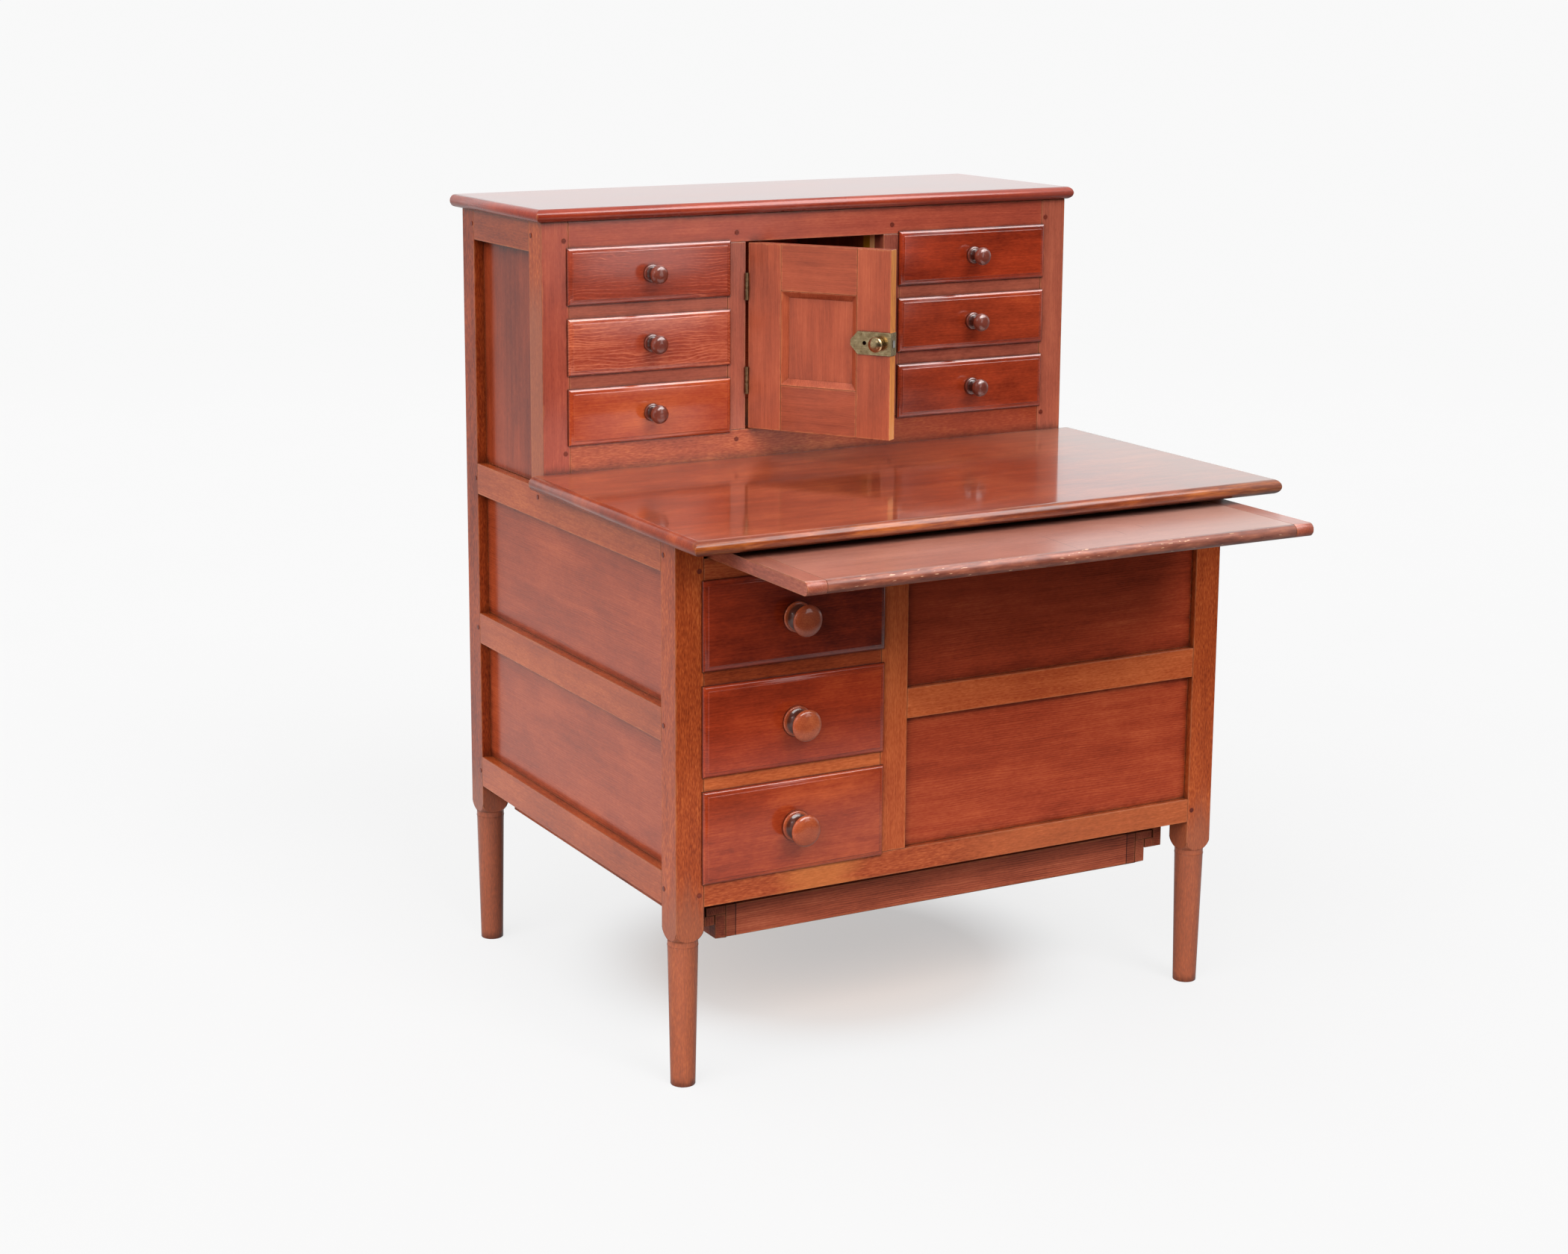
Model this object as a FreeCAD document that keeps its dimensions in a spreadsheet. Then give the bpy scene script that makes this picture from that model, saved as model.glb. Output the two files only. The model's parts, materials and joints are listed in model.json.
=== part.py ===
"""A shaker sewing desk: a turned-leg case with a pull-out board, a drawer gallery and an under-case tray.

Millimetres.  X runs to the right, Y runs from the front to the back and Z runs up from the floor.
The origin is on the floor, below the middle of the whole desk as it stands with its board pulled out.
Inside the script, places are measured from the front left corner of the case, and ORIGIN moves them.
"""
import os

import FreeCAD
import Part

SIZES = {
    # case and posts
    "case_width": 760.0,
    "case_depth": 594.0,
    "post_side": 36.0,
    "gallery_high": 325.5,
    "gallery_front": 352.0,
    # turned legs
    "foot_radius": 14.6,
    "leg_top_radius": 17.9,
    "ring_height": 170.5,
    "ring_centre_radius": 16.6,
    "ring_radius": 1.6,
    "neck_high": 8.5,
    "square_rise": 22.5,
    "shoulder_radius": 25.6,
    "shoulder_drop": 22.3,
    # boards of the top and of the work surface
    "top_thick": 16.0,
    "top_front_overhang": 8.5,
    "top_side_overhang": 9.0,
    "top_back_overhang": 20.0,
    "work_thick": 18.0,
    "work_front_overhang": 88.0,
    "work_side_overhang": 20.5,
    # rails of the sides and of the back
    "rail_thick": 24.0,
    "bottom_rail_low": 216.0,
    "side_rail_high": 40.0,
    "mid_rail_drop": 2.0,
    "gallery_side_rail_high": 37.5,
    "side_panel_recess": 13.0,
    "panel_thick": 8.0,
    # front of the base
    "front_thick": 22.0,
    "front_bottom_low": 217.0,
    "front_bottom_high": 30.0,
    "front_top_high": 28.0,
    "drawer_low_high": 105.0,
    "drawer_mid_high": 102.0,
    "drawer_high_high": 100.0,
    "divider_high": 22.0,
    "drawer_bay_width": 234.0,
    "muntin_width": 36.0,
    "front_mid_rail_rise": 32.0,
    "front_mid_rail_high": 37.0,
    "front_panel_recess": 8.0,
    # front of the gallery
    "gallery_bottom_high": 54.0,
    "gallery_top_high": 35.0,
    "door_opening_wide": 201.0,
    "gallery_muntin_width": 25.0,
    # boards inside
    "inside_thick": 12.0,
    "shelf_thick": 8.0,
    # drawers
    "lip_lap": 3.0,
    "lip_thick": 6.0,
    "lip_round": 4.5,
    "front_inner_thick": 10.0,
    "drawer_gap": 1.0,
    "rest_gap": 0.3,
    "drawer_side_thick": 8.0,
    "drawer_bottom_thick": 5.0,
    "drawer_bottom_rise": 3.0,
    "drawer_side_drop": 3.0,
    "gallery_drawer_behind": 13.0,
    "front_drawer_behind": 50.0,
    "side_drawer_behind": 36.0,
    # knobs
    "big_head_radius": 18.8,
    "big_head_half": 4.8,
    "big_flange_radius": 18.2,
    "big_flange_thick": 4.0,
    "big_neck_radius": 13.5,
    "big_waist_radius": 8.5,
    "big_length": 29.0,
    "small_head_radius": 11.6,
    "small_head_half": 6.5,
    "small_flange_radius": 11.0,
    "small_flange_thick": 3.4,
    "small_neck_radius": 8.0,
    "small_waist_radius": 5.6,
    "small_length": 27.5,
    "side_knob_inset": 120.0,
    # pull-out board
    "slide_side_gap": 6.0,
    "slide_depth": 400.0,
    "slide_thick": 16.0,
    "slide_out": 222.0,
    "slide_end_width": 25.0,
    "bearer_width": 40.0,
    "bearer_high": 18.0,
    "kicker_gap": 0.4,
    "kicker_high": 5.6,
    # tray below the case
    "tray_side_gap": 36.0,
    "tray_front": 40.0,
    "tray_behind": 34.0,
    "tray_gap": 18.0,
    "tray_high": 39.0,
    "tray_board": 14.0,
    "tray_bottom_thick": 7.0,
    "cleat_width": 12.0,
    "cleat_high": 10.0,
    "runner_width": 26.0,
    "runner_high": 40.0,
    # door
    "door_angle": 57.0,
    "door_thick": 14.0,
    "door_gap": 1.1,
    "door_high_gap": 1.0,
    "door_stile": 46.0,
    "door_rail": 58.0,
    "door_panel_thick": 5.0,
    "door_moulding": 8.0,
    "door_moulding_flat": 0.8,
    "door_panel_recess": 6.0,
    "pivot_forward": 2.3,
    "knuckle_radius": 2.0,
    "pin_radius": 0.9,
    "pin_clearance": 0.05,
    "hinge_long": 34.0,
    "leaf_thick": 0.6,
    "leaf_width": 11.0,
    "hinge_low_inset": 62.0,
    "hinge_high_inset": 56.0,
    # lock
    "lock_rise": 1.75,
    "plate_long": 45.0,
    "plate_high": 28.5,
    "plate_thick": 1.2,
    "plate_point": 10.0,
    "plate_tip": 7.0,
    "bolt_long": 20.0,
    "bolt_thick": 5.5,
    "bolt_high": 9.0,
    "bolt_proud": 0.4,
    "bolt_travel": 5.0,
    "bolt_clearance": 0.3,
    "spindle_radius": 3.0,
    "spindle_clearance": 0.05,
    "lock_knob_radius": 9.5,
    "lock_knob_half": 4.5,
    "lock_knob_long": 13.0,
    "lock_collar_radius": 7.0,
    "lock_collar_thick": 2.0,
    "lock_knob_inset": 17.0,
    "keyhole_inset": 36.0,
    "keyhole_radius": 2.6,
    "keyhole_deep": 6.0,
    "plate_pin_inset": 3.5,
    "plate_pin_radius": 1.4,
    "plate_pin_proud": 0.6,
    "strike_width": 17.0,
    "strike_high": 20.0,
    "strike_thick": 0.8,
    # pegs
    "peg_radius": 2.8,
    "peg_proud": 0.6,
    "peg_inset": 6.0,
}

doc = FreeCAD.newDocument("sewing_desk")
sheet = doc.addObject("Spreadsheet::Sheet", "Sizes")
for row, (alias, value) in enumerate(SIZES.items(), start=1):
    sheet.set("A%d" % row, alias)
    sheet.set("B%d" % row, str(value))
    sheet.setAlias("B%d" % row, alias)
doc.recompute()

NODES = []
X_AXIS = FreeCAD.Vector(1, 0, 0)
Y_AXIS = FreeCAD.Vector(0, 1, 0)
Z_AXIS = FreeCAD.Vector(0, 0, 1)


def s(text):
    """Turns words such as 'case_width - post_side' into an expression on the sheet's cells."""
    words = text.replace("(", " ( ").replace(")", " ) ").split()
    return " ".join("Sizes." + word if word in SIZES else word for word in words)


# Heights that follow from those of the pieces below them
SQUARE_LOW = "( ring_height + square_rise )"
DRAWER_LOWS = {
    "low": "front_bottom_low + front_bottom_high",
    "mid": "front_bottom_low + front_bottom_high + drawer_low_high + divider_high",
    "high": "front_bottom_low + front_bottom_high + drawer_low_high + drawer_mid_high + 2 * divider_high",
}
DRAWER_HIGHS = {"low": "drawer_low_high", "mid": "drawer_mid_high", "high": "drawer_high_high"}
BAY_LOW = DRAWER_LOWS["low"]
BAY_TOP = DRAWER_LOWS["high"] + " + drawer_high_high"
SLIDE_LOW = BAY_TOP + " + front_top_high"
KICKER_LOW = SLIDE_LOW + " + slide_thick + kicker_gap"
WORK_LOW = KICKER_LOW + " + kicker_high"
SIDE_TOP_RAIL_LOW = WORK_LOW + " - side_rail_high"
SIDE_MID_RAIL_LOW = "( bottom_rail_low + %s ) / 2 - mid_rail_drop" % SIDE_TOP_RAIL_LOW
FRONT_MID_RAIL_LOW = DRAWER_LOWS["mid"] + " + front_mid_rail_rise"
TOP_LOW = WORK_LOW + " + gallery_high"
GALLERY_SIDE_RAIL_LOW = TOP_LOW + " - gallery_side_rail_high"
GALLERY_LOW = WORK_LOW + " + gallery_bottom_high"
GALLERY_TOP = TOP_LOW + " - gallery_top_high"
GALLERY_OPEN_HIGH = "( %s - ( %s ) )" % (GALLERY_TOP, GALLERY_LOW)
GALLERY_DRAWER_HIGH = "( %s - 2 * divider_high ) / 3" % GALLERY_OPEN_HIGH
LOCK_Z = "( %s + %s ) / 2 + lock_rise" % (GALLERY_LOW, GALLERY_TOP)
TRAY_LOW = "front_bottom_low - tray_gap - tray_high"

# The whole desk reaches from the work surface's left nose to the side drawers' knobs,
# and from the pulled-out board's front to the back of the top board.
ORIGIN = (
    "( case_width + lip_thick + big_length - work_side_overhang ) / 2",
    "( case_depth + top_back_overhang - slide_out ) / 2",
    "0",
)


def bind(thing, **texts):
    for name, text in texts.items():
        thing.setExpression(name, s(text))
    return thing


def put(thing, x, y, z):
    """Places an object in its parent's own coordinates."""
    for letter, text in zip("xyz", (x, y, z)):
        thing.setExpression("Placement.Base." + letter, s(text))
    return thing


def put_in_desk(thing, x, y, z):
    """Places an object by its distances from the front left corner of the case at the floor."""
    places = ["( %s ) - ( %s )" % pair for pair in zip((x, y, z), ORIGIN)]
    return put(thing, *places)


def turn(thing, axis, degrees):
    base = thing.Placement.Base
    thing.Placement = FreeCAD.Placement(base, FreeCAD.Rotation(axis, degrees))
    return thing


def block(name, wide, deep, high):
    return bind(doc.addObject("Part::Box", name), Length=wide, Width=deep, Height=high)


def board(name, x, y, z, wide, deep, high):
    """One straight piece of wood, from its low corner and its three sizes."""
    return put_in_desk(block(name, wide, deep, high), x, y, z)


def rod(name, radius, length):
    return bind(doc.addObject("Part::Cylinder", name), Radius=radius, Height=length)


def joined(name, parts):
    made = doc.addObject("Part::MultiFuse", name)
    made.Shapes = parts
    return made


def common(name, parts):
    made = doc.addObject("Part::MultiCommon", name)
    made.Shapes = parts
    return made


def cut(name, base, tool):
    made = doc.addObject("Part::Cut", name)
    made.Base = base
    made.Tool = tool
    return made


def group(name, parts):
    """Several separate solids that share one node."""
    made = doc.addObject("Part::Compound", name)
    made.Links = parts
    return made


def node(thing, label=None):
    if label:
        thing.Label = label
    NODES.append(thing)
    return thing


# Posts and stiles

def post(label, x, y, top):
    """A square post on a tapered turned leg, with rounded shoulders, a short neck and a ring between."""
    middle_x = "%s + post_side / 2" % x
    middle_y = "%s + post_side / 2" % y
    square = board(
        label + "_square", x, y, SQUARE_LOW, "post_side", "post_side", "%s - %s" % (top, SQUARE_LOW)
    )
    stub = board(
        label + "_stub", x, y, "ring_height", "post_side", "post_side", "square_rise"
    )
    turned = bind(
        doc.addObject("Part::Ellipsoid", label + "_turned"),
        Radius1="shoulder_drop", Radius2="shoulder_radius", Radius3="shoulder_radius",
    )
    put_in_desk(turned, middle_x, middle_y, SQUARE_LOW)
    shoulder = common(label + "_shoulder", [stub, turned])
    neck = rod(label + "_neck", "leg_top_radius", "neck_high")
    put_in_desk(neck, middle_x, middle_y, "ring_height")
    ring = bind(
        doc.addObject("Part::Torus", label + "_ring"), Radius1="ring_centre_radius", Radius2="ring_radius"
    )
    put_in_desk(ring, middle_x, middle_y, "ring_height")
    leg = bind(
        doc.addObject("Part::Cone", label + "_leg"),
        Radius1="foot_radius", Radius2="leg_top_radius", Height="ring_height",
    )
    put_in_desk(leg, middle_x, middle_y, "0")
    return node(joined(label, [square, shoulder, neck, ring, leg]))


RIGHT_POST = "case_width - post_side"
REAR_POST = "case_depth - post_side"
post("post_front_left", "0", "0", WORK_LOW)
post("post_front_right", RIGHT_POST, "0", WORK_LOW)
post("post_rear_left", "0", REAR_POST, TOP_LOW)
post("post_rear_right", RIGHT_POST, REAR_POST, TOP_LOW)

for side_name, stile_x in (("left", "0"), ("right", RIGHT_POST)):
    node(board(
        "gallery_stile_" + side_name, stile_x, "gallery_front", WORK_LOW,
        "post_side", "post_side", "gallery_high",
    ))

# Rails and panels of the two sides

RAIL_LONG = "case_depth - 2 * post_side"
GALLERY_BACK_Y = "gallery_front + post_side"
GALLERY_RAIL_LONG = "case_depth - gallery_front - 2 * post_side"
RIGHT_RAIL = "case_width - rail_thick"


def side_rail(name, x, low, high):
    return board(name, x, "post_side", low, "rail_thick", RAIL_LONG, high)


def gallery_side_rail(name, x):
    return board(
        name, x, GALLERY_BACK_Y, GALLERY_SIDE_RAIL_LOW,
        "rail_thick", GALLERY_RAIL_LONG, "gallery_side_rail_high",
    )


node(group("left_side_rails", [
    side_rail("left_bottom_rail", "0", "bottom_rail_low", "side_rail_high"),
    side_rail("left_mid_rail", "0", SIDE_MID_RAIL_LOW, "side_rail_high"),
    side_rail("left_top_rail", "0", SIDE_TOP_RAIL_LOW, "side_rail_high"),
    gallery_side_rail("left_gallery_rail", "0"),
]))
node(group("right_side_rails", [
    side_rail("right_bottom_rail", RIGHT_RAIL, "front_bottom_low", "front_bottom_high"),
    side_rail("right_low_divider", RIGHT_RAIL, DRAWER_LOWS["mid"] + " - divider_high", "divider_high"),
    side_rail("right_high_divider", RIGHT_RAIL, DRAWER_LOWS["high"] + " - divider_high", "divider_high"),
    side_rail("right_top_rail", RIGHT_RAIL, BAY_TOP, "%s - ( %s )" % (WORK_LOW, BAY_TOP)),
    gallery_side_rail("right_gallery_rail", RIGHT_RAIL),
]))


def gallery_side_panel(name, x):
    return board(
        name, x, GALLERY_BACK_Y, WORK_LOW,
        "panel_thick", GALLERY_RAIL_LONG, "%s - ( %s )" % (GALLERY_SIDE_RAIL_LOW, WORK_LOW),
    )


def left_panel(name, low, top):
    return board(
        name, "side_panel_recess", "post_side", low, "panel_thick", RAIL_LONG, "( %s ) - ( %s )" % (top, low)
    )


node(group("side_panels", [
    left_panel("left_low_panel", "bottom_rail_low + side_rail_high", SIDE_MID_RAIL_LOW),
    left_panel("left_high_panel", SIDE_MID_RAIL_LOW + " + side_rail_high", SIDE_TOP_RAIL_LOW),
    gallery_side_panel("left_gallery_panel", "side_panel_recess"),
    gallery_side_panel("right_gallery_panel", "case_width - side_panel_recess - panel_thick"),
]))

# Front of the base

MUNTIN_X = "post_side + drawer_bay_width"
PANEL_X = MUNTIN_X + " + muntin_width"
PANEL_WIDE = "case_width - 2 * post_side - drawer_bay_width - muntin_width"
FRONT_WIDE = "case_width - 2 * post_side"


def front_piece(name, x, low, wide, high):
    return board(name, x, "0", low, wide, "front_thick", high)


node(front_piece("front_top_rail", "post_side", BAY_TOP, FRONT_WIDE, "front_top_high"))
node(front_piece("front_bottom_rail", "post_side", "front_bottom_low", FRONT_WIDE, "front_bottom_high"))
node(front_piece("front_muntin", MUNTIN_X, BAY_LOW, "muntin_width", "( %s ) - ( %s )" % (BAY_TOP, BAY_LOW)))
node(group("front_dividers", [
    front_piece(
        "front_low_divider", "post_side", DRAWER_LOWS["mid"] + " - divider_high",
        "drawer_bay_width", "divider_high",
    ),
    front_piece(
        "front_high_divider", "post_side", DRAWER_LOWS["high"] + " - divider_high",
        "drawer_bay_width", "divider_high",
    ),
    front_piece("front_mid_rail", PANEL_X, FRONT_MID_RAIL_LOW, PANEL_WIDE, "front_mid_rail_high"),
]))


def front_panel(name, low, top):
    return board(
        name, PANEL_X, "front_panel_recess", low, PANEL_WIDE, "panel_thick", "( %s ) - ( %s )" % (top, low)
    )


node(group("front_panels", [
    front_panel("front_low_panel", BAY_LOW, FRONT_MID_RAIL_LOW),
    front_panel("front_high_panel", FRONT_MID_RAIL_LOW + " + front_mid_rail_high", BAY_TOP),
]))

# Front of the gallery

GALLERY_BAY_WIDE = "( %s - door_opening_wide - 2 * gallery_muntin_width ) / 2" % FRONT_WIDE
DOOR_X = "post_side + %s + gallery_muntin_width" % GALLERY_BAY_WIDE
RIGHT_MUNTIN_X = DOOR_X + " + door_opening_wide"
RIGHT_BAY_X = RIGHT_MUNTIN_X + " + gallery_muntin_width"


def gallery_low(level):
    """Floor of a gallery drawer's opening; level 0 is the lowest."""
    return "%s + %d * ( %s + divider_high )" % (GALLERY_LOW, level, GALLERY_DRAWER_HIGH)


def gallery_piece(name, x, low, wide, high):
    return board(name, x, "gallery_front", low, wide, "front_thick", high)


node(gallery_piece("gallery_top_rail", "post_side", GALLERY_TOP, FRONT_WIDE, "gallery_top_high"))
node(gallery_piece("gallery_bottom_rail", "post_side", WORK_LOW, FRONT_WIDE, "gallery_bottom_high"))

strike_mortise = board(
    "strike_mortise",
    RIGHT_MUNTIN_X + " - bolt_clearance",
    "gallery_front + door_thick / 2 - bolt_thick / 2 - bolt_clearance",
    LOCK_Z + " - bolt_high / 2 - bolt_clearance",
    "bolt_travel + 2 * bolt_clearance + bolt_proud", "bolt_thick + 2 * bolt_clearance",
    "bolt_high + 2 * bolt_clearance",
)
right_muntin = gallery_piece(
    "gallery_right_muntin_blank", RIGHT_MUNTIN_X, GALLERY_LOW,
    "gallery_muntin_width", GALLERY_OPEN_HIGH,
)
gallery_uprights = [
    gallery_piece(
        "gallery_left_muntin", "post_side + " + GALLERY_BAY_WIDE, GALLERY_LOW,
        "gallery_muntin_width", GALLERY_OPEN_HIGH,
    ),
    cut("gallery_right_muntin", right_muntin, strike_mortise),
]
gallery_crossers = [
    gallery_piece(
        "gallery_%s_divider_%d" % (side_name, level), bay_x, gallery_low(level) + " - divider_high",
        GALLERY_BAY_WIDE, "divider_high",
    )
    for side_name, bay_x in (("left", "post_side"), ("right", RIGHT_BAY_X))
    for level in (1, 2)
]
node(group("gallery_dividers", gallery_uprights + gallery_crossers))

# Back

BACK_Y = "case_depth - rail_thick"
back_levels = (
    ("back_bottom_rail", "bottom_rail_low", "side_rail_high"),
    ("back_mid_rail", SIDE_MID_RAIL_LOW, "side_rail_high"),
    ("back_work_rail", SIDE_TOP_RAIL_LOW, "side_rail_high"),
    ("back_top_rail", GALLERY_SIDE_RAIL_LOW, "gallery_side_rail_high"),
)
node(group("back_rails", [
    board(name, "post_side", BACK_Y, low, FRONT_WIDE, "rail_thick", high) for name, low, high in back_levels
]))
node(group("back_panels", [
    board(
        "back_panel_%d" % number, "post_side", "case_depth - side_panel_recess - panel_thick",
        "%s + %s" % (lower[1], lower[2]), FRONT_WIDE, "panel_thick",
        "%s - ( %s + %s )" % (upper[1], lower[1], lower[2]),
    )
    for number, (lower, upper) in enumerate(zip(back_levels, back_levels[1:]), start=1)
]))

# The two boards with rounded noses at the front and at both ends


def nosed_board(label, left, right, front, back, low, thick):
    """A board whose front and ends are half round; where two noses meet they mitre."""
    half = "( %s ) / 2" % thick
    wide = "( %s ) - ( %s )" % (right, left)
    deep = "( %s ) - ( %s )" % (back, front)
    long_core = board(
        label + "_long", left, "%s + %s" % (front, half), low, wide, "%s - %s" % (deep, half), thick
    )
    front_nose = turn(rod(label + "_front_nose", half, wide), Y_AXIS, 90)
    put_in_desk(front_nose, left, "%s + %s" % (front, half), "%s + %s" % (low, half))
    cross_core = board(
        label + "_cross", "%s + %s" % (left, half), front, low, "%s - 2 * %s" % (wide, half), deep, thick
    )
    end_noses = []
    for name, place in (("left", "%s + %s" % (left, half)), ("right", "%s - %s" % (right, half))):
        nose = turn(rod("%s_%s_nose" % (label, name), half, deep), X_AXIS, -90)
        end_noses.append(put_in_desk(nose, place, front, "%s + %s" % (low, half)))
    return node(common(label, [
        joined(label + "_front_form", [long_core, front_nose]),
        joined(label + "_end_form", [cross_core] + end_noses),
    ]))


nosed_board(
    "work_surface", "0 - work_side_overhang", "case_width + work_side_overhang",
    "0 - work_front_overhang", "gallery_front", WORK_LOW, "work_thick",
)
nosed_board(
    "top_board", "0 - top_side_overhang", "case_width + top_side_overhang",
    "gallery_front - top_front_overhang", "case_depth + top_back_overhang", TOP_LOW, "top_thick",
)

# Boards inside the base and the gallery

INSIDE_BACK = "case_depth - rail_thick"
PARTITION_X = MUNTIN_X + " + ( muntin_width - inside_thick ) / 2"
LEFT_SHELF_WIDE = PARTITION_X + " - post_side"
RIGHT_SHELF_X = PARTITION_X + " + inside_thick"
RIGHT_SHELF_WIDE = "case_width - post_side - ( %s )" % RIGHT_SHELF_X
BASE_DEEP = INSIDE_BACK + " - front_thick"


def base_board(name, x, low, wide, high):
    return board(name, x, "front_thick", low, wide, BASE_DEEP, high)


base_boards = [
    base_board("bottom_board", "post_side", "front_bottom_low", FRONT_WIDE, "shelf_thick"),
    base_board(
        "base_partition", PARTITION_X, "front_bottom_low + shelf_thick", "inside_thick",
        "( %s ) - front_bottom_low - shelf_thick" % BAY_TOP,
    ),
]
for level in ("low", "mid", "high"):
    for side_name, shelf_x, shelf_wide in (
        ("left", "post_side", LEFT_SHELF_WIDE), ("right", RIGHT_SHELF_X, RIGHT_SHELF_WIDE)
    ):
        base_boards.append(base_board(
            "base_%s_shelf_%s" % (side_name, level), shelf_x, DRAWER_LOWS[level] + " - shelf_thick",
            shelf_wide, "shelf_thick",
        ))
node(group("base_boards", base_boards))

GALLERY_INSIDE_Y = "gallery_front + front_thick"
GALLERY_INSIDE_DEEP = INSIDE_BACK + " - gallery_front - front_thick"
LEFT_PARTITION_X = DOOR_X + " - inside_thick"


def gallery_board(name, x, low, wide, high):
    return board(name, x, GALLERY_INSIDE_Y, low, wide, GALLERY_INSIDE_DEEP, high)


gallery_boards = [gallery_board(
    "gallery_floor", "post_side", GALLERY_LOW + " - shelf_thick", FRONT_WIDE, "shelf_thick",
)]
for side_name, partition_x in (("left", LEFT_PARTITION_X), ("right", RIGHT_MUNTIN_X)):
    gallery_boards.append(gallery_board(
        "gallery_%s_partition" % side_name, partition_x, GALLERY_LOW,
        "inside_thick", "gallery_high - gallery_bottom_high",
    ))
for level in (1, 2):
    for side_name, shelf_x, shelf_wide in (
        ("left", "post_side", LEFT_PARTITION_X + " - post_side"),
        ("right", RIGHT_MUNTIN_X + " + inside_thick", LEFT_PARTITION_X + " - post_side"),
    ):
        gallery_boards.append(gallery_board(
            "gallery_%s_shelf_%d" % (side_name, level), shelf_x, gallery_low(level) + " - shelf_thick",
            shelf_wide, "shelf_thick",
        ))
node(group("gallery_boards", gallery_boards))

# Runners of the pull-out board and of the tray

runners = []
for side_name, bearer_x in (("left", "rail_thick"), ("right", "case_width - rail_thick - bearer_width")):
    runners.append(board(
        "slide_bearer_" + side_name, bearer_x, "post_side", SLIDE_LOW + " - bearer_high - rest_gap",
        "bearer_width", RAIL_LONG, "bearer_high",
    ))
    runners.append(board(
        "slide_kicker_" + side_name, bearer_x, "post_side", KICKER_LOW, "bearer_width",
        "gallery_front - post_side", "kicker_high",
    ))

TRAY_X = "post_side + tray_side_gap"
TRAY_WIDE = "( %s - 2 * tray_side_gap )" % FRONT_WIDE
TRAY_RIGHT = "%s + %s" % (TRAY_X, TRAY_WIDE)
TRAY_DEEP = "( case_depth - tray_front - tray_behind )"
CLEAT_LOW = TRAY_LOW + " + tray_high - cleat_high"
RUNNER_LOW = "( front_bottom_low - runner_high )"
WEB_WIDE = "runner_width - cleat_width - 2 * drawer_gap"
LEFT_WEB_X = TRAY_X + " - runner_width"
RIGHT_LEDGE_X = TRAY_RIGHT + " + drawer_gap"
for side_name, web_x, ledge_x in (
    ("left", LEFT_WEB_X, LEFT_WEB_X + " + " + WEB_WIDE),
    ("right", RIGHT_LEDGE_X + " + cleat_width + drawer_gap", RIGHT_LEDGE_X),
):
    runners.append(board(
        "tray_runner_web_" + side_name, web_x, "tray_front", RUNNER_LOW,
        WEB_WIDE, TRAY_DEEP, "runner_high",
    ))
    runners.append(board(
        "tray_runner_ledge_" + side_name, ledge_x, "tray_front", RUNNER_LOW,
        "cleat_width + drawer_gap", TRAY_DEEP, "%s - rest_gap - %s" % (CLEAT_LOW, RUNNER_LOW),
    ))
node(group("runners", runners))

# Pull-out board with end cleats

SLIDE_X = "post_side + slide_side_gap"
SLIDE_WIDE = "( %s - 2 * slide_side_gap )" % FRONT_WIDE
SLIDE_FRONT = "0 - slide_out"


def slide_piece(name, x, wide):
    """A length of the pull-out board, square behind and half round in front."""
    half = "slide_thick / 2"
    core = board(
        name + "_core", x, SLIDE_FRONT + " + " + half, SLIDE_LOW, wide, "slide_depth - " + half, "slide_thick"
    )
    nose = turn(rod(name + "_nose", half, wide), Y_AXIS, 90)
    put_in_desk(nose, x, SLIDE_FRONT + " + " + half, "%s + %s" % (SLIDE_LOW, half))
    return joined(name, [core, nose])


node(slide_piece("slide_board", SLIDE_X + " + slide_end_width", SLIDE_WIDE + " - 2 * slide_end_width"))
node(group("slide_ends", [
    slide_piece("slide_end_left", SLIDE_X, "slide_end_width"),
    slide_piece("slide_end_right", "%s + %s - slide_end_width" % (SLIDE_X, SLIDE_WIDE), "slide_end_width"),
]))

# Tray

TRAY_BACK = "tray_front + %s - tray_board" % TRAY_DEEP
TRAY_INSIDE_X = TRAY_X + " + tray_board"
TRAY_INSIDE_WIDE = TRAY_WIDE + " - 2 * tray_board"
TRAY_SIDE_HIGH = "tray_high - cleat_high"
tray = [
    board(
        "tray_side_" + name, x, "tray_front", TRAY_LOW, "tray_board", TRAY_DEEP, TRAY_SIDE_HIGH
    )
    for name, x in (("left", TRAY_X), ("right", TRAY_RIGHT + " - tray_board"))
]
tray += [
    board("tray_end_" + name, TRAY_INSIDE_X, y, TRAY_LOW, TRAY_INSIDE_WIDE, "tray_board", "tray_high")
    for name, y in (("front", "tray_front"), ("back", TRAY_BACK))
]
tray.append(board(
    "tray_bottom", TRAY_INSIDE_X, "tray_front + tray_board", TRAY_LOW,
    TRAY_INSIDE_WIDE, TRAY_DEEP + " - 2 * tray_board", "tray_bottom_thick",
))
tray += [
    board(
        "tray_cleat_" + name, x, "tray_front", CLEAT_LOW,
        "cleat_width + tray_board", TRAY_DEEP, "cleat_high",
    )
    for name, x in (
        ("left", TRAY_X + " - cleat_width"), ("right", TRAY_RIGHT + " - tray_board")
    )
]
node(group("tray", tray))

# Drawers: each is made at its own opening's low front corner, then placed


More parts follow.
